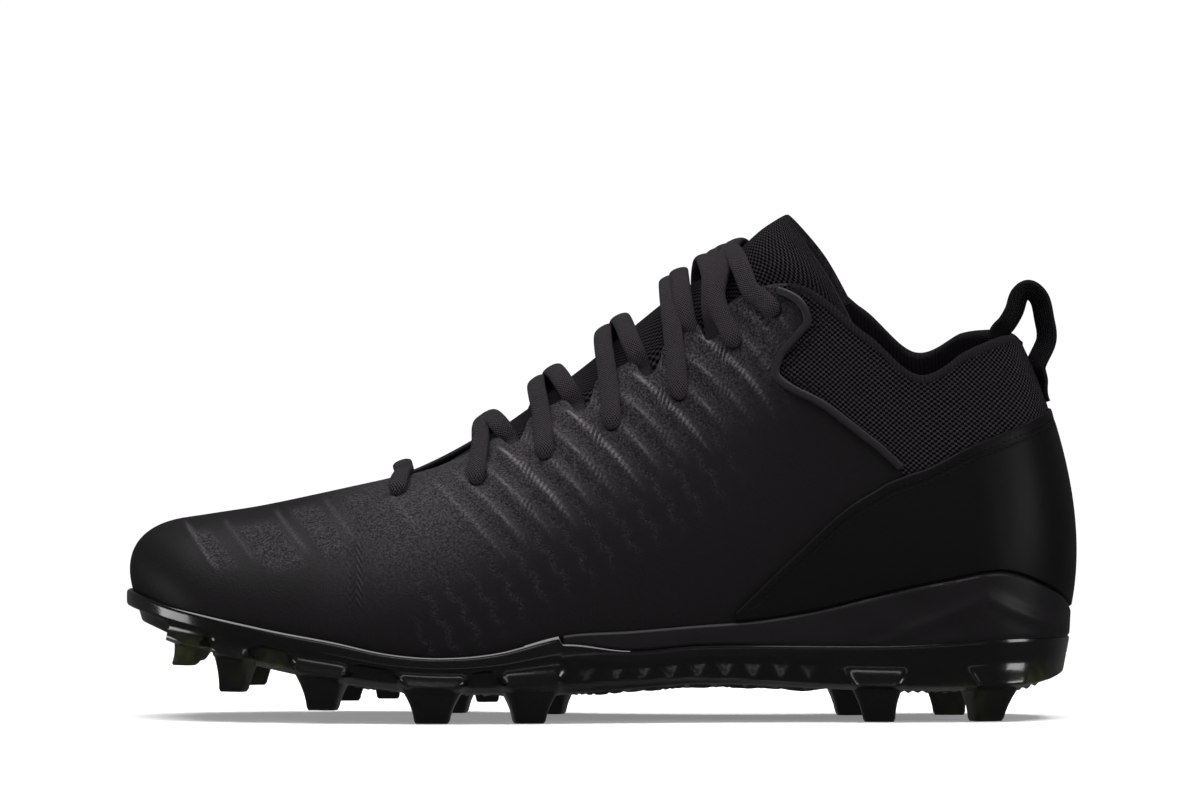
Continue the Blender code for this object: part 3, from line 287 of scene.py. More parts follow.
class Last:
    """The shoe's outer form: a ring of sections from the toe along one side to the heel and back."""

    def __init__(self, sizes: ShoeSizes) -> None:
        """Keep the sizes and the tables' columns.

        Args:
            sizes: driving sizes.
        """
        self.sizes = sizes
        self.foot = {name: FOOT[:, index] for index, name in enumerate(FOOT_NAMES)}
        self.top = {name: TOP[:, index] for index, name in enumerate(TOP_NAMES)}

    @staticmethod
    def around(lateral: Array, medial: Array, ring: Array) -> Array:
        """Value at places on the ring, from a column for each side.

        Args:
            lateral: column for the lateral side, from toe to heel.
            medial: column for the medial side, from toe to heel.
            ring: places on the ring of sections, from the toe along the lateral side to the heel and back.

        Returns:
            The value at each place.
        """
        loop = np.concatenate([lateral, medial[-2:0:-1]])
        count = len(loop)
        ring = np.mod(np.asarray(ring, float), count)
        index = np.floor(ring).astype(int)
        picks = [loop[(index + step) % count] for step in (-1, 0, 1, 2)]
        return catmull(*picks, ring - index)

    @staticmethod
    def row_of(ring: Array) -> Array:
        """Row of the table at places on the ring."""
        ring = np.mod(np.asarray(ring, float), 2 * LAST_ROW)
        return np.where(ring <= LAST_ROW, ring, 2 * LAST_ROW - ring)

    @staticmethod
    def sign_of(ring: Array) -> Array:
        """Side of places on the ring, -1 lateral and 1 medial."""
        return np.where(np.mod(np.asarray(ring, float), 2 * LAST_ROW) <= LAST_ROW, -1.0, 1.0)

    @staticmethod
    def ring_at(row: Numbers, side: Side) -> Array:
        """Places on the ring of rows on a side."""
        row = np.asarray(row, float)
        return row if side is Side.LATERAL else np.mod(2 * LAST_ROW - row, 2 * LAST_ROW)

    def foot_value(self, name: str, ring: Array) -> Array:
        """A column of the foot table at places on the ring."""
        return self.around(self.foot[name], self.foot[name], ring)

    def top_value(self, name: str, ring: Array) -> Array:
        """A column of the top table at places on the ring."""
        return self.around(self.top[name], self.top[name], ring)

    def floor_height(self, ring: Array) -> Array:
        """Height of the upper's foot."""
        return self.foot_value("floor", ring) * self.sizes.sole_height

    def rim_height(self, ring: Array) -> Array:
        """Height of the sole's top line."""
        return self.foot_value("rim", ring) * self.sizes.sole_height

    def under_height(self, ring: Array) -> Array:
        """Height of the plate's underside."""
        return self.foot_value("under", ring) * self.sizes.sole_height

    def feather(self, ring: Array) -> Array:
        """Points of the upper's foot.

        Args:
            ring: places on the ring of sections, from the toe along the lateral side to the heel and back.

        Returns:
            Points (N, 3).
        """
        along = (self.foot_value("along", ring) - 0.5) * self.sizes.length
        across = self.around(-self.foot["lateral"], self.foot["medial"], ring) * self.sizes.ball_width
        return np.stack([along, across, self.floor_height(ring)], axis=-1)

    def outward(self, ring: Array) -> Array:
        """Level directions out of the foot's outline."""
        run = self.feather(np.asarray(ring) + 0.05) - self.feather(np.asarray(ring) - 0.05)
        return unit(np.stack([run[..., 1], -run[..., 0], np.zeros_like(run[..., 0])], axis=-1))

    def top_point(self, ring: Array) -> Array:
        """Points of the ridge, throat edge or collar.

        Args:
            ring: places on the ring of sections, from the toe along the lateral side to the heel and back.

        Returns:
            Points (N, 3).
        """
        row = self.row_of(ring)
        opened = row > THROAT_ROW
        opening = np.where(opened, self.around(-self.top["open_l"], self.top["open_m"], ring), 0.0)
        rise = np.where(opened & (self.sign_of(ring) > 0),
                        np.maximum(0.0, self.top_value("medial_rise", ring)), 0.0)
        heel = np.clip(self.top_value("follows_heel", ring), 0.0, 1.0)
        size = self.sizes.instep_height + (self.sizes.heel_height - self.sizes.instep_height) * heel
        along = (self.top_value("along", ring) - 0.5) * self.sizes.length
        across = (self.top_value("centre", ring) + opening) * self.sizes.ball_width
        return np.stack([along, across, (self.top_value("height", ring) + rise) * size], axis=-1)

    def control(self, ring: Array) -> Array:
        """Bezier points of each section, shape (N, 4, 3).

        Args:
            ring: places on the ring of sections, from the toe along the lateral side to the heel and back.

        Returns:
            Points (N, 4, 3).
        """
        foot, top, out = self.feather(ring), self.top_point(ring), self.outward(ring)
        tall = top[:, 2] - foot[:, 2]
        low = foot + out * (self.top_value("flare", ring) * self.sizes.ball_width)[:, None]
        low[:, 2] += self.top_value("rise", ring) * tall
        high = top + out * (self.top_value("crown", ring) * self.sizes.ball_width)[:, None]
        high[:, 2] -= self.top_value("fall", ring) * tall
        return np.stack([foot, low, high, top], axis=1)

    def traced(self, ring: Array) -> tuple[Array, Array, Array, Array]:
        """Sampled sections and the girth up to each sample.

        Args:
            ring: places on the ring of sections, from the toe along the lateral side to the heel and back.

        Returns:
            The curve parameters, the Bezier points, the samples and the girths.
        """
        t = np.linspace(0.0, 1.0, 97)
        control = self.control(np.atleast_1d(ring))
        points = np.einsum("kc,ncx->nkx", bernstein(t), control)
        steps = np.linalg.norm(np.diff(points, axis=1), axis=-1)
        girths = np.concatenate([np.zeros((len(points), 1)), np.cumsum(steps, axis=1)], axis=1)
        return t, control, points, girths

    def girth(self, ring: Array) -> Array:
        """Length of each section from foot to top."""
        return self.traced(ring)[3][:, -1]

    def skin(self, ring: Array, share: Array) -> Array:
        """Points of the upper's outer face.

        Args:
            ring: N places on the ring.
            share: girth shares, shape (M,) or (N, M).

        Returns:
            Array of shape (N, M, 3).
        """
        ring = np.atleast_1d(np.asarray(ring, float))
        share = np.clip(np.asarray(share, float), 0.0, 1.0)
        share = np.broadcast_to(share, (len(ring), share.shape[-1]))
        t, control, _, girths = self.traced(ring)
        place = np.stack([np.interp(s * g[-1], g, t) for s, g in zip(share, girths)])
        return np.einsum("nmc,ncx->nmx", bernstein(place), control)

    def share_at(self, ring: Array, height: Numbers) -> Array:
        """Girth shares at which sections first reach heights.

        Args:
            ring: places on the ring of sections, from the toe along the lateral side to the heel and back.
            height: heights in metres.

        Returns:
            The girth shares.
        """
        _, _, points, girths = self.traced(ring)
        height = np.broadcast_to(height, (len(points),))
        found = []
        for z, line, goal in zip(points[:, :, 2], girths, height):
            index = int(np.argmax(z >= goal)) if z.max() >= goal else len(z) - 1
            index = max(index, 1)
            part = np.clip((goal - z[index - 1]) / max(z[index] - z[index - 1], 1e-9), 0.0, 1.0)
            found.append((line[index - 1] + part * (line[index] - line[index - 1])) / line[-1])
        return np.array(found)

    def slope(self, ring: Array, share: Array) -> Array:
        """Outward normals from neighbouring points of the skin.

        Args:
            ring: places on the ring of sections, from the toe along the lateral side to the heel and back.
            share: girth shares, 0 at the foot and 1 at the top.

        Returns:
            Unit directions.
        """
        along = self.skin(ring + 0.06, share) - self.skin(ring - 0.06, share)
        up = self.skin(ring, share + 0.02) - self.skin(ring, share - 0.02)
        return unit(np.cross(along, up))

    def normal(self, ring: Array, share: Array) -> Array:
        """Outward unit normals, level at the foot and shared along the ridge.

        Args:
            ring: places on the ring of sections, from the toe along the lateral side to the heel and back.
            share: girth shares, 0 at the foot and 1 at the top.

        Returns:
            Unit directions (N, M, 3).
        """
        ring = np.atleast_1d(np.asarray(ring, float))
        share = np.asarray(share, float)
        share = np.broadcast_to(share, (len(ring), share.shape[-1]))
        found = self.slope(ring, share)
        level = np.full((len(ring), 1), 0.96)
        pair = unit(self.slope(ring, level) + self.slope(np.mod(2 * LAST_ROW - ring, 2 * LAST_ROW), level))
        weight = smooth(share, 0.93, 0.985) * (self.row_of(ring)[:, None] <= THROAT_ROW)
        found = unit(found * (1.0 - weight[..., None]) + pair * weight[..., None])
        flat = found * np.array([1.0, 1.0, 0.0])
        return np.where((share < 0.02)[..., None], unit(flat), found)

    def wall(self, ring: Array, share: Array) -> Array:
        """Thickness of the upper, padded at the collar.

        Args:
            ring: places on the ring of sections, from the toe along the lateral side to the heel and back.
            share: girth shares, 0 at the foot and 1 at the top.

        Returns:
            Thicknesses in metres (N, M).
        """
        ring = np.atleast_1d(np.asarray(ring, float))
        share = np.broadcast_to(share, (len(ring), np.asarray(share).shape[-1]))
        padded = smooth(self.row_of(ring), COLLAR_ROW - 1.0, COLLAR_ROW + 0.6)[:, None]
        padded = padded * smooth(share, 0.50, 0.80)
        return self.sizes.upper_wall + (self.sizes.collar_wall - self.sizes.upper_wall) * padded

    def beyond(self, ring: Array, share: Array, distance: Numbers) -> Array:
        """Points outside the outer face by a distance, a number or an array (N, M).

        Args:
            ring: places on the ring of sections, from the toe along the lateral side to the heel and back.
            share: girth shares, 0 at the foot and 1 at the top.
            distance: distance outward in metres.

        Returns:
            Points (N, M, 3).
        """
        distance = np.asarray(distance, float)
        if distance.ndim:
            distance = distance[..., None]
        return self.skin(ring, share) + self.normal(ring, share) * distance

    def inside(self, ring: Array, share: Array, clearance: float = 0.0) -> Array:
        """Points of the inner face, or further in by a clearance."""
        return self.beyond(ring, share, -self.wall(ring, share) - clearance)

    def notches(self) -> list[tuple[float, float]]:
        """Middle row and half width of each notch between the lace tabs.

        Returns:
            A row and a half width for each notch.
        """
        found = []
        for first, second in zip(EYELETS[1:5], EYELETS[2:6]):
            middle = 0.5 * (first[0] + second[0]) + self.sizes.notch_shift
            found.append((middle, 0.5 * self.sizes.notch_share * (second[0] - first[0])))
        return found

    def edge_share(self, ring: Array) -> Array:
        """Girth share at which the upper ends, less in the notches.

        Args:
            ring: places on the ring of sections, from the toe along the lateral side to the heel and back.

        Returns:
            The girth share at each place.
        """
        row = self.row_of(ring)
        depth = np.zeros_like(row)
        for middle, half in self.notches():
            depth = np.maximum(depth, 1.0 - smooth(np.abs(row - middle) / half, 0.25, 1.0))
        return 1.0 - self.sizes.notch_depth * depth / self.girth(ring)

    def edge_heights(self, x: Array) -> Array:
        """Height of the ridge or throat edge in the side view at given x.

        Args:
            x: places along the shoe in metres.

        Returns:
            Heights in metres.
        """
        ring = np.linspace(0.0, 13.6, 200)
        top = self.top_point(ring)
        return np.interp(x, top[:, 0], top[:, 2])

    def rim_line(self, ring: Array, height: Array, distance: float) -> Array:
        """Points beside the upper at heights, at a level distance outside it.

        Args:
            ring: places on the ring of sections, from the toe along the lateral side to the heel and back.
            height: heights in metres.
            distance: distance outward in metres.

        Returns:
            Points (N, 3).
        """
        share = self.share_at(ring, height)[:, None]
        point = self.skin(ring, share)[:, 0] + self.outward(ring) * distance
        point[:, 2] = height
        return point

    def beside_foot(self, ring: Array, distance: Numbers, height: Array) -> Array:
        """Points at a level distance outside the foot's outline.

        Args:
            ring: places on the ring of sections, from the toe along the lateral side to the heel and back.
            distance: distance outward in metres.
            height: heights in metres.

        Returns:
            Points (N, 3).
        """
        point = self.feather(ring) + self.outward(ring) * distance
        point[:, 2] = height
        return point

    def has_midsole(self, ring: Array) -> Array:
        """Whether the midsole lies over the plate at each place."""
        return self.row_of(ring) > MIDSOLE_ROW + 1e-6

    def plate_floor(self, ring: Array) -> Array:
        """Height of the plate's upper face.

        Args:
            ring: places on the ring of sections, from the toe along the lateral side to the heel and back.

        Returns:
            Heights in metres.
        """
        base = self.floor_height(ring) - self.sizes.gap
        sunk = self.sizes.midsole_front + self.sizes.gap
        deep = base - (self.under_height(ring) + self.sizes.plate_thickness)
        blend = smooth(self.row_of(ring), MIDSOLE_ROW, MIDSOLE_ROW + 3.5)
        seat = base - (sunk + np.maximum(0.0, deep - sunk) * blend)
        return np.where(self.has_midsole(ring), seat, base)

    def side_profile(self, ring: Array) -> Array:
        """Outer face of the whole sole: four points for each place from the rim down.

        Args:
            ring: places on the ring of sections, from the toe along the lateral side to the heel and back.

        Returns:
            Points (N, 4, 3).
        """
        s = self.sizes
        rim, low = self.rim_height(ring), self.under_height(ring)
        swollen = (0.7 * self.rim_line(ring, rim, s.gap + s.rim_lip + s.rim_swell)
                   + 0.3 * self.beside_foot(ring, s.sole_hem, low))
        swollen[:, 2] = rim - 0.35 * (rim - low)
        return np.stack([
            self.rim_line(ring, rim, s.gap + s.rim_lip), swollen,
            self.beside_foot(ring, s.sole_hem, low + 0.55 * (self.plate_floor(ring) - low)),
            self.beside_foot(ring, -s.sole_tuck, low),
        ], axis=1)

    def side_points(self, ring: Array, heights: Array) -> Array:
        """Points of the sole's outer face, shape (N, M, 3), at heights of shape (N, M).

        Args:
            ring: places on the ring of sections, from the toe along the lateral side to the heel and back.
            heights: heights in metres, shape (N, M).

        Returns:
            Points (N, M, 3).
        """
        profile = self.side_profile(ring)
        found = np.empty(heights.shape + (3,))
        for index, line in enumerate(profile):
            order = np.argsort(line[:, 2])
            for axis in range(3):
                found[index, :, axis] = np.interp(heights[index], line[order, 2], line[order, axis])
        return found


LAST = Last(SIZES)


# share of the throat's width by which a curve over it runs on along its edges, and the rise up the throat
THROAT_LEAN = 0.24
THROAT_LEAN_RISE = 0.12
THROAT_LEAN_ROWS = (9.9, 11.1)


def throat_lean(row: float) -> float:
    """How far the curves over the throat lean along the edges that they leave.

    Args:
        row: row of the sections, from 0 at the toe to LAST_ROW at the heel.

    Returns:
        The reach as a share of the throat's width.
    """
    return THROAT_LEAN + THROAT_LEAN_RISE * smooth(row, *THROAT_LEAN_ROWS)


def find_shift() -> Array:
    """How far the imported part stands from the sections' own origin.

    Returns:
        The shift in metres.
    """
    first_column = LAST.skin(np.array([0.0]), np.array((0.0, 0.14, 0.29, 0.44, 0.59, 0.73, 0.86, 1.0)))
    low_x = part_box("upper")[0].x
    loop_low, loop_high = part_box("pull_loop")
    return np.array([low_x - first_column[0, :, 0].min(), 0.5 * (loop_low.y + loop_high.y), 0.0])


SHIFT = find_shift()


# Node trees

def colour(code: str) -> tuple[float, ...]:
    """Linear colour of an sRGB hex code such as 1c1a1d.

    Args:
        code: six hex digits.

    Returns:
        Red, green, blue and alpha.
    """
    parts = [int(code[index:index + 2], 16) / 255.0 for index in (0, 2, 4)]
    linear = [c / 12.92 if c <= 0.04045 else ((c + 0.055) / 1.055) ** 2.4 for c in parts]
    return (*linear, 1.0)


def add_node(tree: Tree, kind: str, settings: dict | None = None, **inputs) -> bpy.types.Node:
    """Add a node, set its settings, and set or link its inputs.

    Args:
        tree: node tree that gets the node.
        kind: node type, such as ShaderNodeMath.
        settings: attributes of the node.
        inputs: input name, with _ for a space, or i0, i1 for a place; a value or an output socket.

    Returns:
        The node.
    """
    node = tree.nodes.new(kind)
    for name, value in (settings or {}).items():
        setattr(node, name, value)
    for name, value in inputs.items():
        if name[0] == "i" and name[1:].isdigit():
            socket = node.inputs[int(name[1:])]
        else:
            socket = node.inputs[name.replace("_", " ")]
        if isinstance(value, bpy.types.NodeSocket):
            tree.links.new(value, socket)
        else:
            socket.default_value = value
    return node


def maths(tree: Tree, operation: str, first: Socket | float, second: Socket | float = 0.0,
          third: Socket | float = 0.0, use_clamp: bool = False) -> Socket:
    """Output of a Math node."""
    settings = {"operation": operation, "use_clamp": use_clamp}
    return add_node(tree, "ShaderNodeMath", settings, i0=first, i1=second, i2=third).outputs[0]


@dataclass(frozen=True)
class Finish:
    """Surface of one material."""

    name: str
    base: str
    rough: float
    slot: str
    specular: float = 0.5
    coat: float = 0.0
    coat_rough: float = 0.1
    # lighter colour mixed in by the pattern; on the film and the plate it paints highlights
    light: str = ""


class Pattern(Enum):
    """Relief and grain that a material carries."""

    FILM = "film"
    SPACER = "spacer"
    KNIT = "knit"
    WOVEN = "woven"
    BRAID = "braid"
    SMOOTH = "smooth"
    FOAM = "foam"


# polyurethane film fused over engineered knit; its light colour lifts the grain and paints highlights along
# the rib crests
QUARTER = Finish("quarter_film", "060506", 0.6, "upper_textile", 0.07, light="565256")
# polyester spacer mesh
MESH = Finish("spacer_mesh", "020202", 0.95, "mesh_textile", 0.02, light="2c292c")
# elastic knit binding tape
BINDING = Finish("binding_tape", "0a090a", 0.85, "upper_textile", 0.04, light="181518")
# brushed polyester lining
LINING = Finish("lining", "070607", 0.9, "upper_textile", 0.04, light="171518")
# synthetic microfibre with a matte polyurethane face
COUNTER = Finish("counter_film", "080708", 0.44, "counter_film", 0.08, light="0a090a")
# rolled film edge
PIPING = Finish("rolled_edge", "121012", 0.46, "rolled_edge", 0.18, light="181518")
# polyester sewing thread
THREAD = Finish("thread", "060506", 0.75, "rolled_edge", 0.1)
# injected ethylene vinyl acetate foam
FOAM = Finish("midsole_foam", "0d0b0d", 0.42, "midsole_foam", 0.14, light="121012")
# glossy thermoplastic polyurethane; its olive light colour is painted highlight at the toe, the forefoot
# studs and the heel
PLATE = Finish("plate_plastic", "050505", 0.17, "plate_plastic", 0.42, 0.12, 0.05, light="23260f")
# flat woven polyester lace
LACE = Finish("lace", "040304", 0.9, "lace", 0.03, light="423e42")
# nylon grosgrain webbing
WEBBING = Finish("webbing", "080708", 0.75, "webbing", 0.08, light="1c1a1d")
# polyester footbed cover over foam
FOOTBED = Finish("footbed", "141215", 0.92, "footbed", 0.08, light="1c1a1d")


class Materials:
    """Makes each material once."""

    # pitches of the patterns, along and up, in millimetres
    MESH_PITCH = (1.05, 0.78)
    KNIT_PITCH = (1.3, 0.7)
    WEBBING_PITCH = (0.55, 1.15)
    BRAID_PITCH = 0.9

    def __init__(self) -> None:
        """Start with no materials."""
        self.made: dict[str, bpy.types.Material] = {}

    def get(self, finish: Finish, pattern: Pattern) -> bpy.types.Material:
        """Material for a finish with a pattern.

        Args:
            finish: colours and gloss.
            pattern: relief and grain of the material.

        Returns:
            The material.
        """
        key = finish.name + "_" + pattern.value
        if key not in self.made:
            self.made[key] = self.build(key, finish, pattern)
        return self.made[key]

    def build(self, key: str, finish: Finish, pattern: Pattern) -> bpy.types.Material:
        """Build the node tree of one material.

        Args:
            key: name of the material.
            finish: surface of the material.
            pattern: relief and grain of the material.

        Returns:
            The material.
        """
        material = bpy.data.materials.new(key)
        material.use_nodes = True
        tree = material.node_tree
        shader = tree.nodes["Principled BSDF"]
        shader.inputs["Base Color"].default_value = colour(finish.base)
        shader.inputs["Roughness"].default_value = finish.rough
        shader.inputs["Specular IOR Level"].default_value = finish.specular
        shader.inputs["Coat Weight"].default_value = finish.coat
        shader.inputs["Coat Roughness"].default_value = finish.coat_rough
        painters = {
            Pattern.FILM: self.film, Pattern.SPACER: self.spacer, Pattern.KNIT: self.knit,
            Pattern.WOVEN: self.woven, Pattern.BRAID: self.braid, Pattern.SMOOTH: self.plain,
            Pattern.FOAM: self.foam,
        }
        painters[pattern](tree, shader, finish)
        return material

    @staticmethod
    def flat(tree: Tree) -> tuple[Socket, Socket]:
        """Unrolled place on the surface in millimetres: along and up outputs.

        Args:
            tree: node tree.

        Returns:
            The sockets along and up.
        """
        place = add_node(tree, "ShaderNodeAttribute", {"attribute_name": "flat"})
        split = add_node(tree, "ShaderNodeSeparateXYZ", Vector=place.outputs["Vector"])
        return split.outputs[0], split.outputs[1]

    @staticmethod
    def mask(tree: Tree, name: str) -> Socket:
        """A mask stored on the mesh."""
        return add_node(tree, "ShaderNodeAttribute", {"attribute_name": name}).outputs["Fac"]

    @staticmethod
    def noise(tree: Tree, scale: float, detail: float = 2.0, rough: float = 0.5) -> Socket:
        """Noise in object space, scale in cells per metre.

        Args:
            tree: node tree.
            scale: cells per metre.
            detail: octaves.
            rough: weight of the finer octaves.

        Returns:
            The noise, between 0 and 1.
        """
        place = add_node(tree, "ShaderNodeTexCoord")
        return add_node(tree, "ShaderNodeTexNoise", Vector=place.outputs["Object"], Scale=scale,
                        Detail=detail, Roughness=rough).outputs["Fac"]

    @staticmethod
    def tint(tree: Tree, shader: bpy.types.Node, finish: Finish, factor: Socket) -> None:
        """Base colour between the finish's two colours.

        Args:
            tree: node tree.
            shader: principled shader node.
            finish: surface of the material.
            factor: weight of the second colour.
        """
        mixed = add_node(tree, "ShaderNodeMix", {"data_type": "RGBA"}, Factor=factor,
                         i6=colour(finish.base), i7=colour(finish.light or finish.base))
        tree.links.new(mixed.outputs[2], shader.inputs["Base Color"])

    @staticmethod
    def relief(tree: Tree, shader: bpy.types.Node, height: Socket, distance: float,
               strength: float = 1.0) -> None:
        """Bump from a height, with its real depth in metres."""
        bump = add_node(tree, "ShaderNodeBump", Height=height, Distance=distance, Strength=strength)
        tree.links.new(bump.outputs["Normal"], shader.inputs["Normal"])

    def plain(self, tree: Tree, shader: bpy.types.Node, finish: Finish) -> None:
        """Nearly smooth surface with a faint unevenness, and painted highlights where the lit mask is set.

        Args:
            tree: node tree.
            shader: principled shader node.
            finish: surface of the material.
        """
        self.relief(tree, shader, self.noise(tree, 900.0), 0.05 * MM, 0.4)
        if finish.light:
            self.tint(tree, shader, finish, self.mask(tree, "lit"))

    def foam(self, tree: Tree, shader: bpy.types.Node, finish: Finish) -> None:
        """Moulded foam with a fine grain.

        Args:
            tree: node tree.
            shader: principled shader node.
            finish: surface of the material.
        """
        grain = self.noise(tree, 2400.0, 3.0)
        self.relief(tree, shader, grain, 0.05 * MM, 0.6)
        self.tint(tree, shader, finish, self.noise(tree, 60.0))

    def film(self, tree: Tree, shader: bpy.types.Node, finish: Finish) -> None:
        """Film over knit: light grain, dark speckled troughs, and painted highlights along the thin crests.

        Args:
            tree: node tree.
            shader: principled shader node.
            finish: surface of the material.
        """
        fine = self.noise(tree, 1500.0, 1.0, 0.6)
        grain = maths(tree, "MULTIPLY", maths(tree, "SUBTRACT", fine, 0.36), 3.2, use_clamp=True)
        coarse = self.noise(tree, 1150.0, 1.0, 0.6)
        speck = maths(tree, "MULTIPLY", maths(tree, "SUBTRACT", coarse, 0.47), 9.0, use_clamp=True)
        patch = self.mask(tree, "stipple")
        haze = self.mask(tree, "haze")
        crest = self.mask(tree, "crest")
        pits = maths(tree, "MULTIPLY", speck, patch)
        lift = maths(tree, "MULTIPLY_ADD", maths(tree, "MULTIPLY", grain, haze), 0.34, 0.03)
        # the crest mask paints highlights along the rib crests and the vamp lines
        lift = maths(tree, "MULTIPLY_ADD", maths(tree, "MULTIPLY_ADD", grain, 0.5, crest), crest, lift)
        lift = maths(tree, "MULTIPLY", lift, maths(tree, "MULTIPLY_ADD", pits, -0.9, 1.0))
        sparkle = maths(tree, "MULTIPLY", maths(tree, "MULTIPLY", grain, patch), 0.14)
        self.tint(tree, shader, finish, maths(tree, "ADD", lift, sparkle))
        zig = self.mask(tree, "zigzag")
        place = add_node(tree, "ShaderNodeTexCoord")
        split = add_node(tree, "ShaderNodeSeparateXYZ", Vector=place.outputs["Object"])
        lean = maths(tree, "PINGPONG", split.outputs[0], 1.9 * MM)
        tooth = maths(tree, "SINE", maths(tree, "MULTIPLY",
                      maths(tree, "MULTIPLY_ADD", lean, 1.7, split.outputs[2]), 2500.0))
        height = maths(tree, "MULTIPLY_ADD", pits, -1.0, maths(tree, "MULTIPLY", fine, 0.5))
        height = maths(tree, "MULTIPLY_ADD", maths(tree, "MULTIPLY", tooth, zig), 0.9, height)
        self.relief(tree, shader, height, 0.16 * MM, 0.9)
        rough = maths(tree, "MULTIPLY_ADD", patch, 0.16, maths(tree, "MULTIPLY_ADD", haze, 0.16,
                      finish.rough - 0.08))
        tree.links.new(rough, shader.inputs["Roughness"])

    @staticmethod
    def ripple(tree: Tree, value: Socket, pitch: float) -> Socket:
        """Sine wave of a place on the surface.

        Args:
            tree: node tree of the material.
            value: place in millimetres.
            pitch: length of one wave in millimetres.

        Returns:
            The wave, between -1 and 1.
        """
        return maths(tree, "SINE", maths(tree, "MULTIPLY", value, 2.0 * math.pi / pitch))

    def cells(self, tree: Tree, pitch_along: float, pitch_up: float) -> Socket:
        """Staggered dashes: 1 on the threads, 0 in the holes.

        Args:
            tree: node tree.
            pitch_along: spacing along the surface in millimetres.
            pitch_up: spacing up the surface in millimetres.

        Returns:
            The pattern's height, between 0 and 1.
        """
        along, up = self.flat(tree)
        product = maths(tree, "MULTIPLY", self.ripple(tree, along, 2.0 * pitch_along),
                        self.ripple(tree, up, 2.0 * pitch_up))
        return maths(tree, "MULTIPLY_ADD", product, 1.5, 0.42, use_clamp=True)

    def spacer(self, tree: Tree, shader: bpy.types.Node, finish: Finish) -> None:
        """Spacer mesh: light thread dashes over dark holes, brushed at its border.

        Args:
            tree: node tree.
            shader: principled shader node.
            finish: surface of the material.
        """
        cell = self.cells(tree, *self.MESH_PITCH)
        fuzz = self.noise(tree, 2600.0, 1.0, 0.7)
        border = self.mask(tree, "border")
        thread = maths(tree, "MULTIPLY_ADD", border, 0.55, maths(tree, "MULTIPLY", cell,
                       maths(tree, "MULTIPLY_ADD", border, -0.8, 1.0)))
        lit = maths(tree, "MULTIPLY", thread, maths(tree, "MULTIPLY_ADD", fuzz, 1.5, 0.15))
        self.tint(tree, shader, finish, lit)
        height = maths(tree, "MULTIPLY_ADD", fuzz, 0.35, thread)
        self.relief(tree, shader, height, 0.30 * MM, 0.9)

    def knit(self, tree: Tree, shader: bpy.types.Node, finish: Finish) -> None:
        """Fine ribs that run up the tape or lining.

        Args:
            tree: node tree.
            shader: principled shader node.
            finish: surface of the material.
        """
        along, up = self.flat(tree)
        rib = self.ripple(tree, along, self.KNIT_PITCH[0])
        purl = self.ripple(tree, up, self.KNIT_PITCH[1])
        height = maths(tree, "MULTIPLY_ADD", purl, 0.3, rib)
        fuzz = self.noise(tree, 2600.0, 2.0, 0.7)
        self.tint(tree, shader, finish, maths(tree, "MULTIPLY_ADD", height, 0.25, fuzz))
        self.relief(tree, shader, height, 0.12 * MM, 0.8)

    def woven(self, tree: Tree, shader: bpy.types.Node, finish: Finish) -> None:
        """Webbing with lengthwise ribs and fine cross threads.

        Args:
            tree: node tree.
            shader: principled shader node.
            finish: surface of the material.
        """
        along, up = self.flat(tree)
        rib = self.ripple(tree, up, self.WEBBING_PITCH[1])
        pick = self.ripple(tree, along, self.WEBBING_PITCH[0])
        height = maths(tree, "MULTIPLY_ADD", pick, 0.35, rib)
        self.tint(tree, shader, finish, maths(tree, "MULTIPLY_ADD", height, 0.3, 0.4))
        self.relief(tree, shader, height, 0.14 * MM, 0.9)

    def braid(self, tree: Tree, shader: bpy.types.Node, finish: Finish) -> None:
        """Braided lace: small slanted stitches on both diagonals.

        Args:
            tree: node tree.
            shader: principled shader node.
            finish: surface of the material.
        """
        along, up = self.flat(tree)
        first = self.ripple(tree, maths(tree, "ADD", along, up), self.BRAID_PITCH)
        second = self.ripple(tree, maths(tree, "SUBTRACT", along, up), self.BRAID_PITCH)
        height = maths(tree, "MAXIMUM", first, second)
        fuzz = self.noise(tree, 3200.0, 2.0, 0.8)
        weave = maths(tree, "MULTIPLY_ADD", height, 0.5, 0.35)
        hairs = maths(tree, "MULTIPLY_ADD", fuzz, 1.6, 0.1)
        self.tint(tree, shader, finish, maths(tree, "MULTIPLY", weave, hairs))
        self.relief(tree, shader, maths(tree, "MULTIPLY_ADD", fuzz, 0.6, height), 0.30 * MM, 1.0)


MATERIALS = Materials()


# Meshes

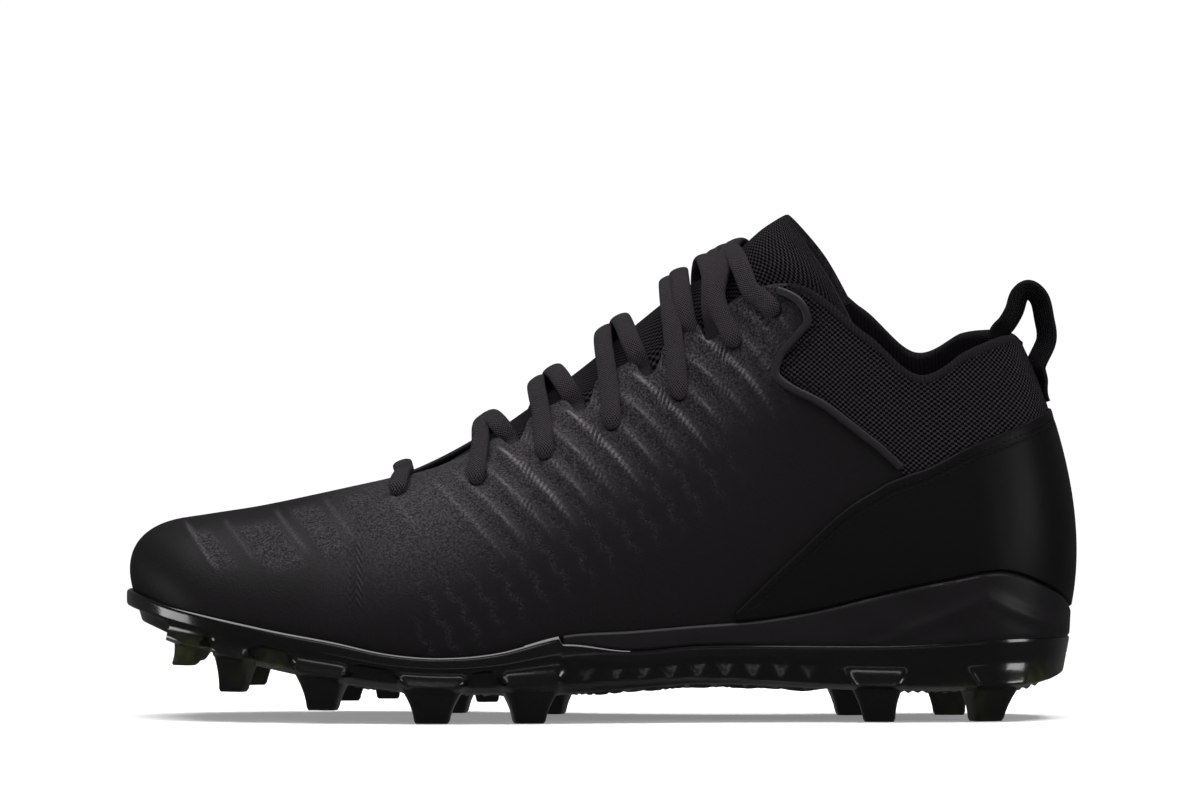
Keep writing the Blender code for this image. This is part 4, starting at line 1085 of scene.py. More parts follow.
def make_object(name: str, vertices: Array, faces: list[tuple[int, ...]],
                materials: list[bpy.types.Material], places: Array | None = None,
                masks: dict[str, Array] | None = None, picks: list[int] | None = None,
                sharp: float = 38.0) -> Object:
    """Mesh object at the origin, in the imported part's frame.

    Args:
        vertices: array (V, 3) in the sections' own frame.
        faces: list of vertex index tuples.
        materials: list of materials.
        places: array (V, 2) of unrolled millimetres, kept as the attribute flat.
        masks: name to array (V,) of numbers kept as attributes.
        picks: material index for each face.
        sharp: angle in degrees above which an edge is sharp.

    Returns:
        The object.
    """
    data = bpy.data.meshes.new(name)
    data.from_pydata((np.asarray(vertices) + SHIFT).tolist(), [], faces)
    count = len(data.vertices)
    if places is None:
        places = np.asarray(vertices)[:, (0, 2)] / MM
    flat = data.attributes.new("flat", "FLOAT_VECTOR", "POINT")
    flat.data.foreach_set("vector", np.column_stack([places, np.zeros(count)]).astype(np.float32).ravel())
    for key in ("stipple", "haze", "crest", "zigzag", "border", "lit"):
        values = (masks or {}).get(key)
        if values is not None:
            layer = data.attributes.new(key, "FLOAT", "POINT")
            layer.data.foreach_set("value", np.asarray(values, np.float32).ravel())
    for material in materials:
        data.materials.append(material)
    if picks is not None:
        data.polygons.foreach_set("material_index", np.asarray(picks, np.int32))
    tidy = bmesh.new()
    tidy.from_mesh(data)
    bmesh.ops.remove_doubles(tidy, verts=tidy.verts, dist=0.004 * MM)
    bmesh.ops.recalc_face_normals(tidy, faces=tidy.faces)
    tidy.to_mesh(data)
    tidy.free()
    data.shade_smooth()
    data.set_sharp_from_angle(angle=math.radians(sharp))
    item = bpy.data.objects.new(name, data)
    bpy.context.scene.collection.objects.link(item)
    return item


def grid_faces(rows: int, columns: int, wrap_rows: bool = False, wrap_columns: bool = False,
               keep: Callable[[int, int], bool] | None = None) -> list[tuple[int, ...]]:
    """Quads of a grid whose vertex index is row * columns + column.

    Args:
        rows: number of rows.
        columns: number of columns.
        wrap_rows: whether the last row joins the first.
        wrap_columns: whether the last column joins the first.
        keep: tells which quads stay; all without it.

    Returns:
        Vertex indices of each quad.
    """
    faces = []
    for i in range(rows if wrap_rows else rows - 1):
        a = (i + 1) % rows
        for j in range(columns if wrap_columns else columns - 1):
            b = (j + 1) % columns
            if keep is None or keep(i, j):
                faces.append((i * columns + j, a * columns + j, a * columns + b, i * columns + b))
    return faces


def show(item: Object, finish: Finish, *nodes: str) -> None:
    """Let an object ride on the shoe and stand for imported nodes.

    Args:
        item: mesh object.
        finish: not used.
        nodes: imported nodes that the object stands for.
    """
    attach(item, "root")
    if nodes:
        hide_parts(*nodes)
    LOG.info("%s: %d faces", item.name, len(item.data.polygons))


def loops_object(name: str, loops: Array, finish: Finish, pattern: Pattern, places: Array | None = None,
                 masks: dict[str, Array] | None = None) -> Object:
    """Closed body through loops of points (R, K, 3), with flat ends.

    Args:
        name: name of the column, mask or piece.
        loops: points (R, K, 3).
        finish: surface of the material.
        pattern: relief and grain of the material.
        places: unrolled millimetres (R, K, 2), measured from the loops without it.
        masks: name to numbers for each point.

    Returns:
        The mesh object.
    """
    rows, columns = loops.shape[:2]
    faces = grid_faces(rows, columns, wrap_columns=True)
    faces.append(tuple(range(columns)))
    faces.append(tuple((rows - 1) * columns + j for j in reversed(range(columns))))
    if places is None:
        steps = np.linalg.norm(np.diff(loops, axis=0), axis=-1).mean(axis=1)
        along = np.concatenate([[0.0], np.cumsum(steps)])
        around = np.linalg.norm(np.diff(loops, axis=1, append=loops[:, :1]), axis=-1)
        around = np.cumsum(around, axis=1) - around
        places = np.stack([np.broadcast_to(along[:, None], around.shape), around], axis=-1) / MM
    return make_object(name, loops.reshape(-1, 3), faces, [MATERIALS.get(finish, pattern)],
                       places.reshape(-1, 2), masks)


def band_loops(centre: Array, wide: Array, deep: Array, width: Numbers, thickness: Numbers,
               corners: int = 16, power: float = 4.0) -> Array:
    """Loops of a flat band with rounded edges along a line of frames.

    Args:
        centre: middle line of the band (N, 3).
        wide: unit directions across the band.
        deep: unit directions through the band.
        width: widths in metres.
        thickness: thicknesses in metres.
        corners: points of one loop.
        power: how square the band's edges are, 2 for round.

    Returns:
        Points (N, K, 3).
    """
    angle = 2.0 * math.pi * np.arange(corners) / corners
    c, s = np.cos(angle), np.sin(angle)
    across = np.sign(c) * np.abs(c) ** (2.0 / power)
    over = np.sign(s) * np.abs(s) ** (2.0 / power)
    width = np.broadcast_to(width, (len(centre),))
    thickness = np.broadcast_to(thickness, (len(centre),))
    return (centre[:, None] + wide[:, None] * (0.5 * width[:, None, None] * across[None, :, None])
            + deep[:, None] * (0.5 * thickness[:, None, None] * over[None, :, None]))


@dataclass(frozen=True)
class Stitch:
    """Sizes of one stitch in metres, with the pitch of its row."""

    pitch: float
    length: float
    radius: float


class Stitcher:
    """Rows of stitches made by one Geometry Nodes tree."""

    def __init__(self) -> None:
        """Make the shared tree."""
        self.tree = self.build_tree()

    @staticmethod
    def build_tree() -> Tree:
        """Tree with named inputs Pitch, Length, Radius and Thread.

        Returns:
            The node tree.
        """
        tree = bpy.data.node_groups.new("stitch_row", "GeometryNodeTree")
        face = tree.interface
        face.new_socket("Geometry", in_out="INPUT", socket_type="NodeSocketGeometry")
        for name in ("Pitch", "Length", "Radius"):
            face.new_socket(name, in_out="INPUT", socket_type="NodeSocketFloat")
        face.new_socket("Thread", in_out="INPUT", socket_type="NodeSocketMaterial")
        face.new_socket("Geometry", in_out="OUTPUT", socket_type="NodeSocketGeometry")
        enter = add_node(tree, "NodeGroupInput")
        curve = add_node(tree, "GeometryNodeMeshToCurve", i0=enter.outputs["Geometry"])
        spots = add_node(tree, "GeometryNodeCurveToPoints", {"mode": "LENGTH"},
                         Curve=curve.outputs[0], Length=enter.outputs["Pitch"])
        half = add_node(tree, "ShaderNodeMath", {"operation": "MULTIPLY"}, i0=enter.outputs["Length"],
                        i1=0.5)
        bead = add_node(tree, "GeometryNodeMeshUVSphere", Segments=8, Rings=6, Radius=1.0)
        size = add_node(tree, "ShaderNodeCombineXYZ", X=enter.outputs["Radius"],
                        Y=enter.outputs["Radius"], Z=half.outputs[0])
        placed = add_node(tree, "GeometryNodeInstanceOnPoints", Points=spots.outputs["Points"],
                          Instance=bead.outputs["Mesh"], Rotation=spots.outputs["Rotation"],
                          Scale=size.outputs[0])
        real = add_node(tree, "GeometryNodeRealizeInstances", i0=placed.outputs[0])
        soft = add_node(tree, "GeometryNodeSetShadeSmooth", i0=real.outputs[0])
        dyed = add_node(tree, "GeometryNodeSetMaterial", i0=soft.outputs[0],
                        Material=enter.outputs["Thread"])
        add_node(tree, "NodeGroupOutput", i0=dyed.outputs[0])
        return tree

    def sew(self, name: str, line: Array, finish: Finish, stitch: Stitch) -> None:
        """Row of stitches along a line of points.

        Args:
            name: name of the column, mask or piece.
            line: points (N, 3) of the row.
            finish: surface of the material.
            stitch: sizes of the stitch.
        """
        data = bpy.data.meshes.new(name + "_line")
        data.from_pydata((np.asarray(line) + SHIFT).tolist(), [(i, i + 1) for i in range(len(line) - 1)], [])
        guide = bpy.data.objects.new(name + "_line", data)
        bpy.context.scene.collection.objects.link(guide)
        step = guide.modifiers.new("stitches", "NODES")
        step.node_group = self.tree
        sockets = {item.name: item.identifier for item in self.tree.interface.items_tree
                   if item.in_out == "INPUT"}
        values = {"Pitch": stitch.pitch, "Length": stitch.length, "Radius": stitch.radius,
                  "Thread": MATERIALS.get(finish, Pattern.SMOOTH)}
        for key, value in values.items():
            step[sockets[key]] = value
        bpy.context.view_layer.update()
        state = bpy.context.evaluated_depsgraph_get()
        made = bpy.data.meshes.new_from_object(guide.evaluated_get(state))
        made.name = name
        bpy.data.objects.remove(guide)
        item = bpy.data.objects.new(name, made)
        bpy.context.scene.collection.objects.link(item)
        show(item, finish)


class Zone(IntEnum):
    """Material slots of the upper's skin."""

    FILM = 0
    MESH = 1
    BINDING = 2
    LINING = 3


@dataclass
class Upper:
    """Outer film, collar mesh, binding and lining of the hollow upper."""

    outer_levels: int = 108
    roll_levels: int = 5
    inner_levels: int = 12
    column_pitch: float = 1.05 * MM
    rib_pitch: float = 6.9
    rib_start: float = -34.4
    binding_width: float = 1.5
    bound_row: float = 12.62
    lined_row: float = 12.6

    def __post_init__(self) -> None:
        """Set the columns and what depends on them."""
        self.rows = self.column_rows()
        self.ring = np.concatenate([self.rows, 2 * LAST_ROW - self.rows[-2:0:-1]])
        self.edge = LAST.edge_share(self.ring)
        self.girths = LAST.girth(self.ring)

    def column_rows(self) -> Array:
        """Rows of the columns on one side, evenly spaced along the shoe.

        Returns:
            Rows of the tables.
        """
        rows = np.linspace(0.0, LAST_ROW, 1200)
        line = LAST.skin(rows, np.array([0.5]))[:, 0]
        run = np.concatenate([[0.0], np.cumsum(np.linalg.norm(np.diff(line, axis=0), axis=1))])
        count = int(run[-1] / self.column_pitch)
        return np.interp(np.linspace(0.0, run[-1], count), run, rows)

    def relief(self, points: Array) -> tuple[Array, dict[str, Array]]:
        """Raised and sunk shapes of the film at points of the outer face.

        Returns:
            Height in metres, and the masks of the film's grain and of its painted crest highlights.
        """
        x, z = points[..., 0] / MM, points[..., 2] / MM
        depth = LAST.edge_heights(points[..., 0]) / MM - z
        run = x - (0.79 * depth - 0.0034 * depth ** 2)
        phase = (run - self.rib_start) / self.rib_pitch
        near = np.abs(phase - np.round(phase))
        strong = np.where(np.mod(np.round(phase), 3) == 0, 1.0, 0.55)
        reach = smooth(run, -62.0, -48.0) * (1.0 - smooth(x, 44.0, 66.0))
        fade = 1.0 - smooth(depth, 24.0, 46.0)
        sharp = np.exp(-(near / 0.075) ** 2)
        # crest: the ribs' sharp tops, raised in the relief and given a painted highlight
        crest = sharp * strong * reach * fade * smooth(depth, 2.0, 6.0)
        wave = np.cos(2.0 * math.pi * (phase + 0.12))
        height = 0.42 * crest + 0.34 * wave * reach * fade * smooth(depth, 2.0, 9.0)
        dashes = 0.5 + 0.5 * np.sin(2.0 * math.pi * (depth / 9.5 + 0.5 * np.mod(np.round(phase), 2)))
        patches = np.exp(-((np.mod(phase + 0.02, 1.0) - 0.52) / 0.17) ** 2) * smooth(dashes, 0.12, 0.5)
        low = smooth(depth, 14.0, 24.0) * (1.0 - smooth(depth, 52.0, 66.0))
        stipple = patches * low * smooth(x, -62.0, -50.0) * (1.0 - smooth(x, 30.0, 52.0))
        haze = (1.0 - smooth(depth, 4.0, 46.0)) * smooth(x, -98.0, -60.0) * (1.0 - smooth(x, 50.0, 66.0))
        # the vamp's satin and speckled bands
        band_run = x - 0.70 * depth
        vamp = 1.0 - smooth(x, -72.0, -62.0)
        for middle, half, top, foot in ((-127.6, 3.4, 4.5, 17.5), (-110.9, 6.6, 5.0, 21.0),
                                        (-94.5, 4.6, 3.0, 21.0), (-76.8, 5.6, 2.0, 19.0)):
            across = 1.0 - smooth(np.abs(band_run - middle), 0.72 * half, 1.15 * half)
            inside = smooth(depth, top - 2.0, top + 1.5) * (1.0 - smooth(depth, foot - 4.0, foot + 1.5))
            haze = np.maximum(haze, 0.85 * across * inside)
            stipple = np.maximum(stipple, 0.35 * across * inside)
            height = height + 0.16 * across * inside * vamp
        # bright lines on the vamp: slightly raised, with a painted highlight along each
        for place, weight in ((-130.6, 1.0), (-118.5, 0.6), (-102.6, 0.75), (-87.2, 0.6), (-68.4, 0.5)):
            line = np.exp(-((band_run - place) / 0.75) ** 2) * weight
            inside = smooth(depth, 0.5, 3.0) * (1.0 - smooth(depth, 13.0, 19.0))
            crest = np.maximum(crest, 0.55 * line * inside)
            height = height + 0.22 * line * inside
        zigzag = hump(x, -75.7, 3.6) * smooth(depth, 2.0, 8.0) * (1.0 - smooth(z, 56.0, 60.0) * 0.4)
        zigzag = zigzag * smooth(z, 34.0, 40.0)
        return height * MM, {"stipple": stipple, "haze": haze, "crest": crest, "zigzag": zigzag}

    @staticmethod
    def quarter_row(share: Array) -> Array:
        """Row of the quarter's lapped edge at girth shares.

        Args:
            share: girth shares.

        Returns:
            Rows of the tables.
        """
        line = through(QUARTER_EDGE, np.linspace(0.0, 1.0, 120))
        order = np.argsort(line[:, 1])
        return np.interp(share, line[order, 1], line[order, 0])

    def build(self) -> None:
        """Make the upper's visible skin, edge and lining as one hollow piece."""
        levels = np.linspace(0.0, 1.0, self.outer_levels)
        share = levels[None, :] * self.edge[:, None]
        skin = LAST.skin(self.ring, share)
        normal = LAST.normal(self.ring, share)
        height, masks = self.relief(skin)
        row = LAST.row_of(self.ring)
        to_edge = (self.edge[:, None] - share) * self.girths[:, None] / MM
        is_mesh = (row[:, None] > self.quarter_row(share)) & (share > 0.56)
        in_bound = (row > self.bound_row)[:, None]
        bound = in_bound & (to_edge < self.binding_width)
        collar = smooth(row, 12.4, 13.2)[:, None]
        height = height * (1.0 - collar) * (1.0 - smooth(share, 0.97, 1.0)
                                            * (row > THROAT_ROW)[:, None]) * smooth(share, 0.0, 0.12)
        puff = is_mesh * np.sin(np.clip((share - 0.6) / 0.4, 0.0, 1.0) * math.pi) * 0.7 * MM
        bow = 1.0 - (to_edge / self.binding_width - 0.5) ** 2 * 4.0
        tape = in_bound * np.sqrt(np.clip(bow, 0.0, 1.0))
        puff = puff * smooth(row, self.lined_row, 14.0)[:, None]
        outer = skin + normal * (height + puff + 0.45 * MM * tape)[..., None]
        inner_share = np.linspace(1.0, 0.0, self.inner_levels)[None, :] * self.edge[:, None]
        inner = LAST.inside(self.ring, inner_share)
        for sheet in (outer, inner):
            sheet[:, 0 if sheet is outer else -1, 2] = LAST.floor_height(self.ring)
        middle = 0.5 * (outer[:, -1] + inner[:, 0])
        half = 0.5 * (outer[:, -1] - inner[:, 0])
        up = unit(LAST.skin(self.ring, self.edge[:, None])[:, 0]
                  - LAST.skin(self.ring, self.edge[:, None] - 0.03)[:, 0])
        reach = np.linalg.norm(half, axis=-1, keepdims=True)
        swing = np.linspace(0.0, math.pi, self.roll_levels + 2)[1:-1]
        roll = np.stack([middle + half * math.cos(a) + up * reach * (0.75 * math.sin(a)) for a in swing],
                        axis=1)
        points = np.concatenate([outer, roll, inner], axis=1)
        count = points.shape[1]
        first_roll = self.outer_levels - 1
        last_roll = self.outer_levels + self.roll_levels
        closed = (row < THROAT_ROW - 1e-6) | (np.roll(row, -1) < THROAT_ROW - 1e-6)

        def keep(i: int, j: int) -> bool:
            """Whether the quad stays: the edge's roll is left out where the upper is closed."""
            return not (closed[i] and first_roll <= j < last_roll)

        faces = grid_faces(len(self.ring), count, wrap_rows=True, wrap_columns=True, keep=keep)
        picks = []
        for face in faces:
            i, j = divmod(face[0], count)
            if j >= last_roll:
                picks.append(Zone.LINING if row[i] > self.lined_row or j > last_roll + 1 else Zone.FILM)
            elif j >= first_roll:
                picks.append(Zone.BINDING if row[i] > self.bound_row else Zone.FILM)
            elif bound[i, j]:
                picks.append(Zone.BINDING)
            else:
                picks.append(Zone.MESH if is_mesh[i, j] else Zone.FILM)
        along = self.unrolled()
        spent = np.cumsum(np.linalg.norm(np.diff(points, axis=1, prepend=points[:, :1]), axis=-1), axis=1)
        places = np.stack([np.broadcast_to(along[:, None], spent.shape), spent], axis=-1) / MM
        padded = {}
        for key, values in masks.items():
            extra = np.zeros((len(self.ring), count - self.outer_levels))
            padded[key] = np.concatenate([values, extra], axis=1).ravel()
        padded["border"] = np.zeros(points.shape[:2]).ravel()
        materials = [MATERIALS.get(QUARTER, Pattern.FILM), MATERIALS.get(MESH, Pattern.SPACER),
                     MATERIALS.get(BINDING, Pattern.KNIT), MATERIALS.get(LINING, Pattern.KNIT)]
        item = make_object("upper_skin", points.reshape(-1, 3), faces, materials,
                           places.reshape(-1, 2), padded, picks, sharp=70.0)
        show(self.punch(item), QUARTER, "upper")

    def unrolled(self) -> Array:
        """Length along the shoe from the toe for each column, the same on both sides.

        Returns:
            Lengths in metres.
        """
        line = LAST.skin(self.rows, np.array([0.45]))[:, 0]
        run = np.concatenate([[0.0], np.cumsum(np.linalg.norm(np.diff(line, axis=0), axis=1))])
        return np.concatenate([run, run[-2:0:-1]])

    @staticmethod
    def punch(item: Object) -> Object:
        """Cut the eyelet holes.

        Args:
            item: mesh object.

        Returns:
            The same object with its new mesh.
        """
        plugs = []
        for side in Side:
            for entry in EYELETS:
                ring = np.atleast_1d(LAST.ring_at(entry[0], side))
                centre = LAST.skin(ring, np.array([entry[1]]))[0, 0]
                out = LAST.normal(ring, np.array([entry[1]]))[0, 0]
                bpy.ops.mesh.primitive_cylinder_add(vertices=28, radius=SIZES.eyelet_radius, depth=9 * MM,
                                                    location=centre + SHIFT)
                plug = bpy.context.object
                plug.rotation_mode = "QUATERNION"
                plug.rotation_quaternion = Vector(out).to_track_quat("Z", "Y")
                plugs.append(plug)
        bpy.ops.object.select_all(action="DESELECT")
        for plug in plugs:
            plug.select_set(True)
        bpy.context.view_layer.objects.active = plugs[0]
        bpy.ops.object.join()
        cutter = bpy.context.object
        step = item.modifiers.new("eyelets", "BOOLEAN")
        step.operation = "DIFFERENCE"
        step.solver = "EXACT"
        step.object = cutter
        bpy.context.view_layer.update()
        state = bpy.context.evaluated_depsgraph_get()
        made = bpy.data.meshes.new_from_object(item.evaluated_get(state))
        item.modifiers.clear()
        item.data = made
        bpy.data.objects.remove(cutter)
        return item


@dataclass
class Overlays:
    """Heel counter, rolled quarter edges and their stitches."""

    stitcher: Stitcher
    counter_stitch: Stitch = Stitch(2.1 * MM, 1.5 * MM, 0.22 * MM)
    edge_stitch: Stitch = Stitch(1.9 * MM, 1.3 * MM, 0.2 * MM)
    # depths of the stitch rows inside each edge
    counter_seams: tuple[float, float] = (2.9 * MM, 4.6 * MM)
    edge_seams: tuple[float, float] = (2.6 * MM, 4.1 * MM)

    @staticmethod
    def seam_share(row: Array) -> Array:
        """Girth share of the counter's seam at rows."""
        line = through(COUNTER_SEAM, np.linspace(0.0, 1.0, 240))
        return np.interp(row, line[:, 0], line[:, 1])

    def counter(self) -> None:
        """Film counter with rounded borders."""
        side_rows = np.linspace(COUNTER_SEAM[0, 0], LAST_ROW, 150)
        ring = np.concatenate([side_rows, 2 * LAST_ROW - side_rows[-2::-1]])
        low = LAST.share_at(ring, LAST.rim_height(ring) + 2.0 * SIZES.gap)
        high = np.maximum(self.seam_share(LAST.row_of(ring)), low + 0.012)
        levels = np.concatenate([np.linspace(0.0, 0.06, 5), np.linspace(0.08, 0.94, 60),
                                 np.linspace(0.955, 1.0, 6)])
        share = low[:, None] + (high - low)[:, None] * levels[None, :]
        edge = np.minimum(levels, 1.0 - levels)[None, :] * (high - low)[:, None] * LAST.girth(ring)[:, None]
        soft = np.sqrt(np.clip(1.0 - (1.0 - np.clip(edge / (0.9 * MM), 0.0, 1.0)) ** 2, 0.0, 1.0))
        dip = 0.12 * MM * hump(edge, 3.7 * MM, 1.6 * MM) * (levels > 0.5)[None, :]
        outer = LAST.beyond(ring, share, SIZES.gap + SIZES.counter_wall * (0.25 + 0.75 * soft) - dip)
        inner = LAST.beyond(ring, share[:, ::-1], SIZES.gap)
        loops = np.concatenate([outer, inner], axis=1)
        item = loops_object("heel_counter_skin", loops, COUNTER, Pattern.FOAM)
        show(item, COUNTER, "heel_counter")
        for side in Side:
            for index, below in enumerate(self.counter_seams):
                rows = np.linspace(COUNTER_SEAM[0, 0] + 0.45, LAST_ROW - 0.35, 160)
                line_ring = LAST.ring_at(rows, side)
                line_share = self.seam_share(rows) - below / LAST.girth(line_ring)
                line = LAST.beyond(line_ring, line_share[:, None], SIZES.gap + SIZES.counter_wall)[:, 0]
                name = "counter_stitches_" + side.name.lower() + "_" + str(index + 1)
                self.stitcher.sew(name, line, THREAD, self.counter_stitch)

    def quarter_edge(self, side: Side) -> None:
        """Rolled edge with a stitch line inside it.

        Args:
            side: side of the shoe.
        """
        marks = through(QUARTER_EDGE, np.linspace(0.0, 1.0, 140))
        ring = LAST.ring_at(marks[:, 0], side)
        base = LAST.skin(ring, marks[:, 1:])[:, 0]
        out = LAST.normal(ring, marks[:, 1:])[:, 0]
        run = unit(np.gradient(base, axis=0))
        across = unit(np.cross(out, run))
        centre = base + out * (SIZES.gap + 0.5 * SIZES.piping_height)
        loops = band_loops(centre, across, out, SIZES.piping_width, SIZES.piping_height, 18, 2.4)
        name = "quarter_edge_" + side.name.lower()
        show(loops_object(name + "_roll", loops, PIPING, Pattern.FOAM), PIPING, name)
        toward = 1.0 if side is Side.LATERAL else -1.0
        for index, offset in enumerate(self.edge_seams):
            line = base + across * (toward * offset) + out * 0.18 * MM
            self.stitcher.sew(name + "_stitches_" + str(index + 1), line[6:], THREAD, self.edge_stitch)

    def build(self) -> None:
        """Make all overlays."""
        self.counter()
        for side in Side:
            self.quarter_edge(side)


@dataclass
class Tongue:
    """Padded mesh tongue with a brushed border."""

    cross: int = 6
    # share by which the top row is drawn in to the middle
    top_draw: float = 0.18
    # real width and length of the pad's face, and the unrolled sizes of its pattern, in millimetres
    width: float = 54.0
    length: float = 130.0
    pattern_width: float = 58.0
    pattern_length: float = 168.0

    def row_points(self, row: float, lap: float = TONGUE_LAP, middle: Array | None = None,
                   edge_lift: float = 0.0) -> Array:
        """Points of the outer face at a row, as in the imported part.

        Args:
            row: row of the tables.
            lap: girth share by which the row reaches under the upper.
            middle: place of the row's middle in the side view, left where it falls without it.
            edge_lift: rise of the row's ends in metres.

        Returns:
            Points (K, 3) from the lateral end to the medial end.
        """
        sides = []
        for side in Side:
            ring = np.atleast_1d(LAST.ring_at(row, side))
            share = np.array([1.0 - lap, 1.0 - 0.5 * lap, 1.0])
            sides.append(LAST.inside(ring, share, SIZES.tongue_clear)[0] + np.array([0.0, 0.0, edge_lift]))
        start, end = sides[0][-1], sides[1][-1]
        reach = throat_lean(row) * np.linalg.norm(end - start)
        low = start + unit(sides[0][-1] - sides[0][-2]) * reach
        high = end + unit(sides[1][-1] - sides[1][-2]) * reach
        weights = bernstein(np.linspace(0.0, 1.0, self.cross + 1))
        across = weights @ np.stack([start, low, high, end])
        if middle is not None:
            shift = middle - across[self.cross // 2]
            shift[1] = 0.0
            across += shift * (np.sin(np.pi * np.linspace(0.0, 1.0, self.cross + 1)) ** 1.4)[:, None]
        return np.concatenate([sides[0][:2], across, sides[1][1::-1]])

    def build(self) -> None:
        """Make the tongue as a closed padded body."""
        outer = []
        for row in np.linspace(TONGUE_FOOT_ROW, TONGUE_LAST_ROW, 9):
            outer.append(self.row_points(row))
        for row, lap, along, height, lift in TONGUE_FREE:
            middle = np.array([(along - 0.5) * SIZES.length, 0.0, height * SIZES.instep_height])
            outer.append(self.row_points(row, lap, middle, lift))
        outer = np.array(outer)
        middle_line = outer[:, outer.shape[1] // 2][:, None]
        for back, draw in ((1, self.top_draw), (2, 0.3 * self.top_draw)):
            outer[-back] += (middle_line[-back] - outer[-back]) * draw * np.array([1.0, 1.0, 0.0])
        across = np.gradient(outer, axis=1)
        along = np.gradient(outer, axis=0)
        down = unit(np.cross(across, along))
        down = np.where(down[..., 2:] > 0, -down, down)
        rows, columns = np.linspace(0, 1, 170), np.linspace(0, 1, 110)
        face = refine(outer, rows, columns)
        back = refine(outer + down * SIZES.tongue_thickness, rows, columns)
        to_side = np.minimum(columns, 1 - columns)[None, :] * self.width
        to_top = (1.0 - rows)[:, None] * self.length
        border = 1.0 - smooth(np.minimum(to_top, to_side), 5.4, 6.4)
        rim = np.minimum(np.minimum(to_top, rows[:, None] * self.length), to_side)
        pinch = 0.5 * (1.0 - np.sqrt(np.clip(1.0 - (1.0 - np.clip(rim / 1.8, 0, 1)) ** 2, 0, 1)))
        groove = 0.10 * hump(np.minimum(to_top, to_side), 6.0, 0.9)
        mixed = face + (back - face) * (pinch + groove)[..., None]
        under = back + (face - back) * pinch[..., None]
        loops = np.concatenate([mixed, under[:, ::-1]], axis=1)
        masks = {"border": np.concatenate([border, border[:, ::-1]], axis=1).ravel()}
        places = np.empty(loops.shape[:2] + (2,))
        places[..., 0] = (rows * self.pattern_length)[:, None]
        across = columns * self.pattern_width
        places[..., 1] = np.concatenate([across, self.pattern_width + across])[None, :]
        item = loops_object("tongue_pad", loops, MESH, Pattern.SPACER, places, masks)
        show(item, MESH, "tongue")


